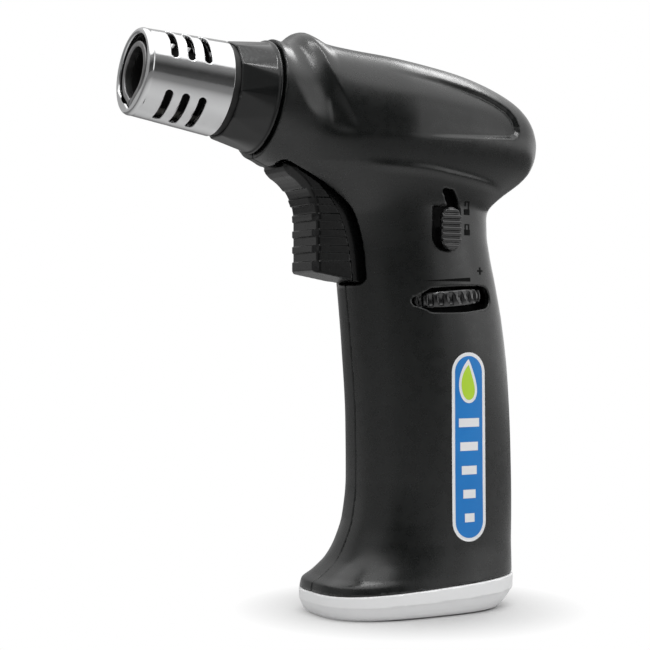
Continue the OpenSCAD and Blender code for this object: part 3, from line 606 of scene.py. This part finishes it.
def base_tray(x, y, z):
    """Hollow base with posts for its two screws and a sleeve round the fill valve."""
    plan, level = base_form(x, y, z, 0)
    tray = both(plan, both(-z, level - BASE_H + SEAM_GAP, 0.2), 0.35)
    inner, _ = base_form(x, y, z, BASE_WALL)
    from_fill = np.hypot(x - FILL_X, y)
    room = both(inner, BASE_WALL - z, 0.3)
    room = both(room, -both(from_fill - FILL_POST_R, z - 4), 0.3)
    for sx in BASE_SCREWS_X:
        room = both(room, -both(np.hypot(x - sx, y) - SCREW_POST_R, z - 4.6), 0.3)
    tray = both(tray, -room, 0.25)
    tray = both(tray, -(from_fill - FILL_HOLE_R), 0.3)
    for sx in BASE_SCREWS_X:
        from_screw = np.hypot(x - sx, y)
        tray = both(tray, -(from_screw - SCREW_HOLE_R), 0.1)
        tray = both(tray, -both(from_screw - SCREW_HEAD_R, z - 2.2), 0.3)
    return tray


solid("base_tray", base_tray, BASE_GRID, "handle", "base_silver", FINISHES["base_silver"],
      ["base_cap"])


# ---- the nozzle -----------------------------------------------------------------------


def from_polar(s, turn, r):
    """x, y, z of a point in the nozzle's frame; turn is measured from up towards the left side."""
    u, y = r * np.cos(turn), r * np.sin(turn)
    x = MOUTH_X - s * math.cos(TILT) - u * math.sin(TILT)
    z = MOUTH_Z - s * math.sin(TILT) + u * math.cos(TILT)
    return x, y + 0 * s, z


def in_nozzle(shape):
    """Distance function in x, y, z from one in (distance back, height over the axis, y)."""

    def f(x, y, z):
        s, u = along_nozzle(x, z)
        return shape(s, u, y)

    return f


def turned(name, shape, s_range, r_range, steps, slot, replaces=(), around=240, material=None):
    """Solid meshed round the nozzle's axis, on the handle."""
    turns = np.arange(around) * 2 * math.pi / around
    axes = (span(*s_range, steps[0]), turns, span(*r_range, steps[1]))
    solid(name, in_nozzle(shape), axes, "handle", slot, material or FINISHES[slot], replaces,
          from_polar, wrap=1)


# The guard's cooling slots: distances back, middles and length in degrees, and width
SLOT_ROWS = (7.15, 11.75, 16.35)
SLOT_MIDDLES = (46, 143, 217, 314)
SLOT_ARC = 45
SLOT_W = 1.9
MOUTH_POINT, MOUTH_SPREAD = 10.05, 57
GUARD_TAIL_R, GUARD_TAIL_LENGTH = 11.9, 7.4
GUARD_MOUTH_R, GUARD_GROWTH, GUARD_WALL, GUARD_BORE_R = 11.46, 1.4, 1.0, 10.9


def pointed(u, y, r, reach, spread_angle):
    """Round opening whose bottom is drawn in to a point, reach below the axis."""
    tilt = math.radians(90 - spread_angle)
    return both(np.hypot(u, y) - r, np.abs(y) * math.sin(tilt) - (u + reach) * math.cos(tilt), 0.5)


def guard_outside(s):
    """Outer radius, growing evenly from the mouth to the rear edge."""
    return GUARD_MOUTH_R + (s - 0.5) * GUARD_GROWTH / (GUARD_LENGTH - 0.5)


def without_slots(form, s, u, y, edge):
    """A tube round the nozzle's axis with the guard's cooling slots cut out."""
    r = np.hypot(u, y)
    turn = np.degrees(np.arctan2(y, u)) % 360
    for middle in SLOT_MIDDLES:
        off = np.abs((turn - middle + 180) % 360 - 180)
        arc = np.radians(np.maximum(off - SLOT_ARC / 2, 0)) * r
        for row in SLOT_ROWS:
            form = both(form, -both(np.hypot(arc, s - row) - SLOT_W / 2, 8.5 - r), edge)
    return form


def guard(s, u, y):
    """Slotted tube with a rolled lip at the mouth and a narrower tail in the collar."""
    r = np.hypot(u, y)
    outer = np.where(s > GUARD_LENGTH, GUARD_TAIL_R, guard_outside(s))
    shell = both(both(r - outer, -s, 1.3), s - COLLAR_S - GUARD_TAIL_LENGTH, 0.3)
    stepped = both(shell, union(s - GUARD_LENGTH, r - GUARD_TAIL_R), 0.15)
    shell = np.where(s > GUARD_LENGTH - 2, stepped, shell)
    bore = np.where(s < GUARD_LENGTH - 2.4, outer - GUARD_WALL, GUARD_BORE_R)
    bore = np.minimum(bore, GUARD_BORE_R)
    tube = both(shell, bore - r, 0.3)
    lip = both(both(shell, s - 1.5, 0.3), -pointed(u, y, 9.8, MOUTH_POINT, MOUTH_SPREAD), 0.9)
    return without_slots(union(tube, lip, 0.3), s, u, y, 0.35)


turned("guard_tube", guard, (-0.4, 33.4), (8.8, 13.2), (0.34, 0.28), "polished_metal",
       ["nozzle_guard"], 288)


def guard_shade_lining(s, u, y):
    """Near-black lining of the guard, painted shade inside the nozzle, open at the same slots."""
    r = np.hypot(u, y)
    inside = np.minimum(guard_outside(s) - GUARD_WALL, GUARD_BORE_R)
    tube = both(both(r - inside + 0.03, inside - 0.3 - r), both(4.6 - s, s - GUARD_LENGTH))
    return without_slots(tube, s, u, y, 0.1)


turned("guard_lining", guard_shade_lining, (4, 24.4), (9.6, 11.1), (0.5, 0.2), "black_ring", around=200,
       material=INSIDE_SHADE_BLACK)


def liner(s, u, y):
    """Dark wall just inside the mouth, pointed at the bottom."""
    opening = pointed(u, y, 9.55, MOUTH_POINT - 0.15, MOUTH_SPREAD)
    return both(both(np.hypot(u, y) - 10.4, -opening, 0.25), both(1.4 - s, s - 4.6), 0.2)


turned("guard_liner", liner, (1, 5), (8.2, 10.8), (0.25, 0.25), "black_ring")


COLLAR_FRONT_R, COLLAR_REAR_R, BEAD_R, NECK_R = 13.3, 15.2, 15.05, 13.6
COLLAR_BORES = (12.35, 11.95, 10.6)  # over the first 3 mm, up to 8.2 mm back, and behind that


def collar(s, u, y):
    """Polygon in front that becomes round towards the rear, with a bead and a neck."""
    r = np.hypot(u, y)
    share = np.clip((s - COLLAR_S) / (COLLAR_REAR_S - COLLAR_S), 0, 1)
    reach = COLLAR_FRONT_R * (1 - share)
    wedge = 2 * math.pi / COLLAR_FLATS
    local = (np.arctan2(y, u) % wedge) - wedge / 2
    out = r * np.cos(local) - reach * math.cos(wedge / 2)
    along = np.abs(r * np.sin(local)) - reach * math.sin(wedge / 2)
    form = np.where(along > 0, np.hypot(np.maximum(out, 0), along), out) - COLLAR_REAR_R * share
    form = both(form, both(COLLAR_S - s, s - COLLAR_REAR_S, 0.3), 0.6)
    bead = np.hypot(r - BEAD_R, s - COLLAR_REAR_S + 0.55) - 0.5
    form = union(form, bead, 0.35)
    neck = both(r - NECK_R, both(COLLAR_REAR_S - 1 - s, s - COLLAR_REAR_S - 7), 0.2)
    form = union(form, neck, 0.3)
    front_bore, middle_bore, rear_bore = COLLAR_BORES
    bore = np.where(s < COLLAR_S + 8.2, middle_bore, rear_bore)
    bore = np.where(s < COLLAR_S + 3, front_bore, bore)
    return both(form, bore - r, 0.3)


turned("collar_form", collar, (25, 44.2), (10, 16.1), (0.36, 0.3), "collar_plastic",
       ["front_collar"], 300)


BURNER_R, BURNER_BORE_R = 7.95, 6.42
LOBE = [(-10.05, 0), (-5.92, 5.12), (0, 0), (-5.92, -5.12)]
LOBE_HOLLOW = [(-7.9, 0), (-4.75, 4.1), (0, 0), (-4.75, -4.1)]
LOBE_DEPTH = 3.2


def burner_front(s, u, y):
    """Rolled end of the burner, with a pointed lobe that leaves room for the spark."""
    r = np.hypot(u, y)
    ring = both(union(r - 8, polygon(u, y, LOBE), 0.8), both(0.4 - s, s - 4.4, 0.4), 0.6)
    hollow = both(polygon(u, y, LOBE_HOLLOW), s - LOBE_DEPTH)
    bore = union(r - BURNER_BORE_R, hollow, 0.3)
    spark_slot = both(np.abs(y) - 0.75, both(-9.6 - u, u + 6.5), 0.3)
    return both(both(ring, -bore, 0.4), -both(spark_slot, s - LOBE_DEPTH), 0.25)


turned("burner_ring", burner_front, (0, 4.8), (5.9, 10.4), (0.25, 0.25), "burner_grey",
       ["burner_tube"], 260)


def pipe(outer, inner, front, rear):
    """Round tube in the nozzle's frame, from two radii and two distances back."""
    return lambda s, u, y: both(both(np.hypot(u, y) - outer, inner - np.hypot(u, y), 0.1),
                                both(front - s, s - rear, 0.1), 0.2)


# The burner tube's barrel inside the guard is near-black as painted shade, and so is the sheet just
# inside its bore; its front ring keeps the steel finish
turned("burner_barrel", pipe(BURNER_R, BURNER_BORE_R, 4.3, BURNER_REAR_S), (3.9, 42.1),
       (6, 8.3), (0.8, 0.23), "burner_grey", ["burner_tube"], 96, INSIDE_SHADE_BLACK)
turned("burner_bore_shade", pipe(6.39, 6.2, 2.4, 23.5), (2, 23.9), (6.0, 6.6), (0.6, 0.1), "black_ring",
       around=96, material=INSIDE_SHADE_BLACK)


# ---- trigger, lock and wheel -----------------------------------------------------------

TRIGGER_HALF_W, TRIGGER_BEVEL = 7.7, 1.6
RIB_START, RIB_PITCH = 97.5, 4.3
GROOVES, GROOVE_W, GROOVE_DEPTH, TOP_GROOVE_DEPTH, SIDE_GROOVE_DEPTH = 5, 2.35, 0.85, 0.7, 0.32
SIDE_REAR_X = curve([
    (91, 22.4), (99.3, 23.4), (105.6, 24.8), (110.2, 26.5), (114.4, 29.2), (118.5, 33),
    (120.4, 36), (122, 39)])
SIDE_SET_BACK = 1.6
FINGER_X, FINGER_Z, FINGER_R = 47.6, 108.9, 13


def finger_arc(degrees):
    """Point on the trigger's hollow front."""
    turn = math.radians(degrees)
    return FINGER_X - FINGER_R * math.cos(turn), FINGER_Z + FINGER_R * math.sin(turn)


TRIGGER_OUTLINE = (
    [(34.6, 94.9)]
    + [finger_arc(degrees) for degrees in range(2, 63, 6)]
    + [(42.7, 121.5), (43.3, 122.5), (43.2, 123.6), (42.3, 124.3), (38, 124.9), (28, 124),
       (19, 119.5), (13.5, 114.5), (13.5, 91.75), (19.6, 91.75), (33.8, 94.3)])
TRIGGER_TAIL = [(4.5, 93.4), (14.5, 93.4), (14.5, 97.9), (13.5, 97.7), (4.5, 95.4)]
TRIGGER_GRID = (span(4, 44.4, 0.42), span(-8.4, 8.4, 0.4), span(91, 125.8, 0.33))


def trigger_form(x, y, z):
    """Trigger with ribs in front and at the sides, and a tail that lifts the valve's lever."""
    outline = polygon(x, z, TRIGGER_OUTLINE)
    front = polygon(x, np.maximum(z, 98), TRIGGER_OUTLINE)  # leaves the bottom edge unbevelled
    form = both(outline, np.abs(y) - TRIGGER_HALF_W, 0.5)
    bevel = (front + np.abs(y) - TRIGGER_HALF_W + TRIGGER_BEVEL) / math.sqrt(2)
    form = both(form, bevel - (1 - ramp(x, 25, 30)) * 4, 0.25)
    set_back = (1 - ramp(x - SIDE_REAR_X(z), -0.5, 0.5)) * SIDE_SET_BACK
    form = both(form, np.abs(y) - TRIGGER_HALF_W + set_back, 0.3)
    for i in range(GROOVES):
        off = np.abs(z - RIB_START - i * RIB_PITCH - GROOVE_W / 2) - GROOVE_W / 2
        depth = GROOVE_DEPTH if i < GROOVES - 1 else TOP_GROOVE_DEPTH
        cut = both(off, -(outline + depth), 0.15)
        cut = both(cut, 28 - x)
        sides = both(off, TRIGGER_HALF_W - SIDE_GROOVE_DEPTH - np.abs(y), 0.15)
        form = both(form, -np.minimum(cut, both(sides, 21 - x)), 0.22)
    hollow = both(both(x - 27.5, np.abs(y) - 4.2, 0.3), np.abs(z - 100.3) - 4.3, 0.3)
    socket = both(np.hypot(y, z - 110) - 3.02, x - 16.5)
    form = both(form, -union(hollow, socket), 0.2)
    return union(form, both(polygon(x, z, TRIGGER_TAIL), np.abs(y + 3.1) - 1.9, 0.2))


solid("trigger_form", trigger_form, TRIGGER_GRID, "trigger_unit", "control_plastic",
      TRIGGER_SHADED_BLACK, ["trigger"])

LOCK_X, LOCK_Z, LOCK_W, LOCK_H, LOCK_CAP_Y = -2.3, 106.7, 6.4, 11.8, 17.2
LOCK_RIB_PITCH, LOCK_RIB_R = 1.63, 0.62
LOCK_SHADE_PLATE = [(-6.9, 97), (4.1, 97), (4.1, 118.7), (-6.9, 118.7)]


def lock_form(x, y, z):
    """Ribbed cap on a stalk."""
    end = (LOCK_H - LOCK_W) / 2
    plan = capsule(x, z, (LOCK_X, LOCK_Z - end), (LOCK_X, LOCK_Z + end), LOCK_W / 2)
    cap = both(plan, np.abs(y - LOCK_CAP_Y - 0.6) - 0.6, 0.35)
    for i in range(-3, 4):
        rib = np.hypot(y - LOCK_CAP_Y - 1.1, z - LOCK_Z - i * LOCK_RIB_PITCH) - LOCK_RIB_R
        cap = union(cap, both(rib, plan + 0.1, 0.3), 0.15)
    stalk = both(np.abs(x - LOCK_X) - 1.3, np.abs(z - LOCK_Z + 2.2) - 2.8, 0.2)
    return union(cap, both(stalk, both(12.4 - y, y - 17.6), 0.2))


def lock_shade_plate(x, y, z):
    """Near-black plate behind the well, painted shade that keeps the well dark wherever the button
    stands.
    """
    return both(polygon(x, z, LOCK_SHADE_PLATE), np.abs(y - 12) - 0.6, 0.4)


solid("lock_cap", lock_form, (span(-6.2, 1.6, 0.2), span(12, 19.6, 0.2), span(99.8, 113.4, 0.2)),
      "lock", "control_plastic", FINISHES["control_plastic"], ["lock_button"])
solid("lock_shade_plate", lock_shade_plate, (span(-7.5, 4.7, 0.6), span(11, 13, 0.3), span(96.4, 119.4, 0.6)),
      "lock", "control_plastic", SHADE_WALL_BLACK, ["lock_button"])


WHEEL_GRID = (span(-2.7, 2.7, 0.4), np.arange(384) * math.pi / 192, span(3, 16, 0.4))
RIB_R, GROOVE_RISE, CROWN = 0.95, 0.95, 0.7
HUB_BORE_R, WEB_INNER_R, WEB_OUTER_R, WEB_DEPTH = 3.55, 5.5, 12.5, 1.2


def wheel_form(x, y, z):
    """Crowned wheel whose round ribs stand between scooped grooves."""
    across, along = along_wheel(x, z)
    dy = y - WHEEL_Y
    r, turn = np.hypot(across, dy), np.arctan2(dy, across)
    pitch = 2 * math.pi / WHEEL_RIBS
    local = (turn + pitch / 2) % pitch - pitch / 2
    rib = np.hypot(r * np.cos(local) - WHEEL_R + RIB_R, r * np.sin(local)) - RIB_R
    outward = np.clip(along / (WHEEL_T / 2), -1, 1) ** 2
    disc = union(r - WHEEL_R + GROOVE_RISE * (1 - outward), rib, 0.15)
    disc = both(disc, r - WHEEL_R + CROWN * outward, 0.15)
    form = both(disc, np.abs(along) - WHEEL_T / 2, 0.5)
    form = both(form, HUB_BORE_R - r, 0.2)
    web = both(WEB_INNER_R - r, r - WEB_OUTER_R, 0.2)
    web = both(web, WHEEL_T / 2 - WEB_DEPTH - np.abs(along), 0.2)
    return both(form, -web, 0.3)


def from_wheel(along, turn, r):
    """x, y, z of a point in the wheel's frame."""
    across, dy = r * np.cos(turn), r * np.sin(turn)
    x = WHEEL_X + across * math.cos(WHEEL_TILT) + along * math.sin(WHEEL_TILT)
    z = WHEEL_Z - across * math.sin(WHEEL_TILT) + along * math.cos(WHEEL_TILT)
    return x, WHEEL_Y + dy + 0 * along, z


solid("gas_wheel_form", wheel_form, WHEEL_GRID, "wheel", "control_plastic",
      FINISHES["control_plastic"], ["gas_wheel"], from_wheel, wrap=1)
WHEEL_SHADE_GRID = (span(-19.6, 10.6, 0.7), span(9.4, 11.4, 0.35), span(81, 94, 0.35))
WHEEL_SHADE_SLIT = 0.12


def wheel_window_shade(x, y, z):
    """Near-black wall inside the wheel's window, painted shade round the wheel, with a slit for the
    wheel.
    """
    _, along = along_wheel(x, z)
    wall = both(np.abs(x + 4.5) - 14.5, both(81.5 - z, z - 93.5), 0.3)
    wall = both(wall, np.abs(y - 10.4) - 0.5, 0.3)
    return both(wall, WHEEL_T / 2 + WHEEL_SHADE_SLIT - np.abs(along), 0.1)


solid("wheel_window_shade", wheel_window_shade, WHEEL_SHADE_GRID, "handle", "shell_plastic", SHADE_WALL_BLACK)


# ---- printed label and moulded signs on the left shell -----------------------------------------


def on_shell(x, z, lift):
    """y of the left skin at (x, z), raised by lift."""
    y = np.full(x.shape, 21.0)
    for _ in range(40):
        y -= np.clip(body_form(x, y, z) - lift, -1.0, 1.0) * 0.9
    return y


def printed(name, left, right, z_low, z_high, lift, material, rows=60, columns=10):
    """Thin print on the left shell between two edges, given as functions of height.

    The rows crowd towards both ends and stop just short of them, where an edge turns round.
    """
    turn = np.linspace(0, math.pi, rows)
    z = (z_low + z_high) / 2 - np.cos(turn) * (z_high - z_low) / 2 * 0.9995
    share = np.linspace(0, 1, columns)
    zz = np.repeat(z[:, None], columns, 1)
    xx = left(zz) + (right(zz) - left(zz)) * share
    yy = on_shell(xx, zz, lift)
    points = np.stack([xx, yy, zz], -1).reshape(-1, 3)
    faces = []
    for i in range(rows - 1):
        for j in range(columns - 1):
            a = i * columns + j
            faces.append((a, a + columns, a + columns + 1, a + 1))
    normals = gradient(body_form, points, 0.3)
    normals /= np.linalg.norm(normals, axis=1)[:, None]
    piece(name, points, faces, normals, "handle", "shell_plastic", material)


def strip(middle, half, z_low, z_high):
    """Left and right edges of an upright strip with round ends."""

    def reach(z):
        past = np.maximum(np.maximum(z_low + half - z, z - z_high + half), 0)
        return np.sqrt(np.maximum(half * half - past * past, 0))

    return (lambda z: middle - reach(z)), (lambda z: middle + reach(z))


def drop(middle, z_low, z_high, half):
    """Left and right edges of a flame with its point at the top, leaning a little.

    reach is fullest low down and runs out to the point; lean bends the middle to one side.
    """
    height = z_high - z_low

    def reach(z):
        t = np.clip((z - z_low) / height, 0, 1)
        return half * 2.05 * np.sqrt(t) * (1 - t) ** 0.85 * (1 - 0.12 * t)

    def lean(z):
        t = np.clip((z - z_low) / height, 0, 1)
        return middle + 0.9 * np.sin(t * 3.0) * t

    return (lambda z: lean(z) - reach(z)), (lambda z: lean(z) + reach(z))


# How high each layer stands over the skin
BORDER_LIFT, FIELD_LIFT, SIGN_LIFT, FLAME_LIFT, RAISED_LIFT = 0.05, 0.09, 0.13, 0.17, 0.1
LABEL_X, LABEL_LOW, LABEL_HIGH, LABEL_HALF = -8.8, 20, 72.5, 5.6
for name, inset, lift, material in (
        ("label_border", 0, BORDER_LIFT, PRINT_WHITE), ("label_field", 1, FIELD_LIFT, PRINT_BLUE)):
    half, z_low, z_high = LABEL_HALF - inset, LABEL_LOW + inset, LABEL_HIGH - inset
    printed(name, *strip(LABEL_X, half, z_low, z_high), z_low, z_high, lift, material, 120, 14)
for name, half, z_low, z_high, lift, material in (
        ("label_flame_edge", 3.7, 58.4, 70.6, SIGN_LIFT, PRINT_WHITE),
        ("label_flame", 2.7, 59.3, 69.0, FLAME_LIFT, PRINT_GREEN)):
    printed(name, *drop(LABEL_X, z_low, z_high, half), z_low, z_high, lift, material)
BARS, BAR_TOP_Z, BAR_PITCH, BAR_HALF_H = 5, 53, 6.6, 1.2
for i in range(BARS):
    z_mid = BAR_TOP_Z - i * BAR_PITCH
    half = 3.4 - i * 0.45
    left, right = LABEL_X - half, LABEL_X + half
    printed(f"label_bar_{i + 1}", lambda z: left + 0 * z, lambda z: right + 0 * z,
            z_mid - BAR_HALF_H, z_mid + BAR_HALF_H, SIGN_LIFT, PRINT_WHITE, 8, 12)


def block(name, left, right, z_low, z_high, tip=None):
    """Raised flat sign, near-black as painted shade of an engraved mark; a tip is where its right
    edge ends up at the top.
    """
    lean = (right if tip is None else tip) - right
    height = z_high - z_low
    printed(name, lambda z: left + 0 * z, lambda z: right + lean * (z - z_low) / height * 0.98,
            z_low, z_high, RAISED_LIFT, SIGN_SHADE_BLACK, 8, 16)


for name, z_mid, open_by in (("padlock_shut", 106.4, 0), ("padlock_open", 112.1, 0.6)):
    block(name + "_body", -10.4, -8.3, z_mid - 1.3, z_mid + 0.3)
    block(name + "_left", -10.2, -9.85, z_mid + 0.3, z_mid + 1.5 + open_by)
    block(name + "_right", -8.85, -8.5, z_mid + 0.3 + 1.3 * open_by, z_mid + 1.5 + open_by)
    block(name + "_top", -10.2, -8.5, z_mid + 1.5 + open_by, z_mid + 1.85 + open_by)
block("more_gas_wedge", -9.9, 6.1, 92.2, 93.3, -9.8)
block("more_gas_plus_across", -15.0, -12.9, 95.0, 95.5)
block("more_gas_plus_up", -14.2, -13.7, 94.2, 96.3)


# ---- camera, light and floor --------------------------------------------------------------

CAMERA_TARGET = np.array([27.4, 0, 80.1])
CAMERA_DISTANCE = 440.0
CAMERA_TURN = math.radians(28)
LENS_MM, SENSOR_MM = 88.1, 36.0

scene = bpy.context.scene
camera = bpy.data.objects.new("camera", bpy.data.cameras.new("camera"))
scene.collection.objects.link(camera)
outward = np.array([math.sin(CAMERA_TURN), math.cos(CAMERA_TURN), 0])
camera.location = (CAMERA_TARGET + CAMERA_DISTANCE * outward) * MM
camera.rotation_euler = (math.pi / 2, 0, math.pi - CAMERA_TURN)
camera.data.lens = LENS_MM
camera.data.sensor_width = SENSOR_MM
camera.data.clip_start = 0.01
scene.camera = camera
scene.view_settings.view_transform = "Standard"

# Pale floor, in metres: a round sheet just under the base. Away from the base it goes from
# FLOOR_NEAR to FLOOR_FAR for the lights, and to plain white for the camera.
FLOOR_R, FLOOR_CORNERS, FLOOR_Z = 3.0, 96, -0.0002
FLOOR_NEAR, FLOOR_FAR = (0.5, 0.5, 0.5), (0.15, 0.15, 0.15)
turns = np.linspace(0, 2 * math.pi, FLOOR_CORNERS + 1)[:-1]
rim = [(FLOOR_R * math.cos(t), FLOOR_R * math.sin(t), FLOOR_Z) for t in turns]
floor_mesh = bpy.data.meshes.new("floor")
floor_mesh.from_pydata(rim, [], [range(FLOOR_CORNERS)])
floor = bpy.data.objects.new("floor", floor_mesh)
scene.collection.objects.link(floor)
floor_nodes = Nodes("floor_pale")
far = floor_nodes.add("VectorMath", operation="LENGTH")
floor_nodes.link(floor_nodes.add("TexCoord").outputs["Object"], far.inputs[0])
away = spread(floor_nodes, far.outputs["Value"], 0.1, 0.42)
floor_colour = mixed(floor_nodes, away, FLOOR_NEAR, FLOOR_FAR)
floor_nodes.link(floor_colour, floor_nodes.shader.inputs["Base Color"])
floor_nodes.shader.inputs["Roughness"].default_value = 0.9
paper = floor_nodes.add("Emission", Color=(1, 1, 1, 1))
shown = floor_nodes.add("Math", operation="MULTIPLY")
floor_nodes.link(spread(floor_nodes, far.outputs["Value"], 0.022, 0.05), shown.inputs[0])
floor_nodes.link(floor_nodes.add("LightPath").outputs["Is Camera Ray"], shown.inputs[1])
blend = floor_nodes.add("MixShader")
floor_nodes.link(shown.outputs[0], blend.inputs[0])
floor_nodes.link(floor_nodes.shader.outputs[0], blend.inputs[1])
floor_nodes.link(paper.outputs[0], blend.inputs[2])
floor_nodes.link(blend.outputs[0], floor_nodes.tree.nodes["Material Output"].inputs["Surface"])
floor_mesh.materials.append(floor_nodes.material)


def softbox(name, location, target, size, power, along=(0, 0, 1)):
    """Area light aimed at target, with its second size along the given direction, in metres."""
    light = bpy.data.lights.new(name, "AREA")
    light.shape = "RECTANGLE"
    light.size, light.size_y = size
    light.energy = power
    lamp = bpy.data.objects.new(name, light)
    scene.collection.objects.link(lamp)
    back = Vector(location) - Vector(target)
    back.normalize()
    across = Vector(along).cross(back).normalized()
    turn = Matrix((across, back.cross(across), back)).transposed()
    lamp.matrix_world = Matrix.Translation(location) @ turn.to_4x4()
    return lamp


key = softbox("key", (0.45, 0.75, 0.75), target=(0, 0, 0.08), size=(0.5, 0.5), power=3.6)
key.visible_glossy = False
softbox("back_top", (-0.48, -0.29, 0.69), target=(0.03, 0, 0.15), size=(0.25, 0.12), power=0.6)
softbox("right_side", (-0.36, 0.42, 0.28), target=(-0.01, 0, 0.13), size=(0.3, 0.35), power=0.15)
STRIP_TOP, STRIP_FOOT = np.array([0.097, 0.012, 0.596]), np.array([-0.05, 0.27, 0.5])
softbox("hood_strip", (STRIP_TOP + STRIP_FOOT) / 2, target=(0.038, 0.012, 0.151),
        size=(0.035, 0.31), power=0.5, along=STRIP_TOP - STRIP_FOOT)

world = bpy.data.worlds.new("studio")
scene.world = world
world.use_nodes = True
sky = world.node_tree


def sky_node(kind, **settings):
    """Node of the world, with the given values on its sockets."""
    node = sky.nodes.new("ShaderNode" + kind)
    for socket, setting in settings.items():
        node.inputs[socket.replace("_", " ")].default_value = setting
    return node


def sky_ramp(value, low, high, to_low, to_high):
    """Smooth step of a value of the sky."""
    node = sky_node("MapRange", From_Min=low, From_Max=high, To_Min=to_low, To_Max=to_high)
    node.interpolation_type = "SMOOTHSTEP"
    sky.links.new(value, node.inputs["Value"])
    return node.outputs["Result"]


def sky_math(operation, first, second):
    """Output of a sum or product of two values of the sky."""
    node = sky_node("Math")
    node.operation = operation
    sky.links.new(first, node.inputs[0])
    sky.links.new(second, node.inputs[1])
    return node.outputs[0]


# The room, by direction: bright behind the torch and most so low down, weaker in front of it and
# at its far side, dark where the camera stands, and a white ceiling. The camera sees plain white.
CEILING_STRENGTH = 1.4
direction = sky_node("SeparateXYZ")
sky.links.new(sky_node("TexCoord").outputs["Generated"], direction.inputs[0])
behind = sky_ramp(direction.outputs["X"], -0.66, -0.46, 1.2, 0.07)
ahead = sky_ramp(direction.outputs["X"], 0.5, 0.9, 0, 0.3)
far_side = sky_ramp(direction.outputs["Y"], -0.85, -0.55, 0.4, 0)
upper = sky_ramp(direction.outputs["Z"], 0.25, 0.6, 0, 0.22)
upward = sky_ramp(direction.outputs["Z"], 0.05, 0.3, 1, 0.55)
ceiling = sky_ramp(direction.outputs["Z"], 0.63, 0.655, 0, 1)
walls = sky_math("ADD", sky_math("MULTIPLY", behind, upward), ahead)
walls = sky_math("ADD", walls, sky_math("ADD", far_side, upper))
strength = sky_node("Mix")
sky.links.new(ceiling, strength.inputs[0])
sky.links.new(walls, strength.inputs[2])
strength.inputs[3].default_value = CEILING_STRENGTH
backdrop, room = sky.nodes["Background"], sky_node("Background", Color=(1, 1, 1, 1))
backdrop.inputs["Color"].default_value = (1, 1, 1, 1)
sky.links.new(strength.outputs[0], room.inputs["Strength"])
choose = sky_node("MixShader")
sky.links.new(sky_node("LightPath").outputs["Is Camera Ray"], choose.inputs[0])
sky.links.new(room.outputs[0], choose.inputs[1])
sky.links.new(backdrop.outputs[0], choose.inputs[2])
sky.links.new(choose.outputs[0], sky.nodes["World Output"].inputs["Surface"])
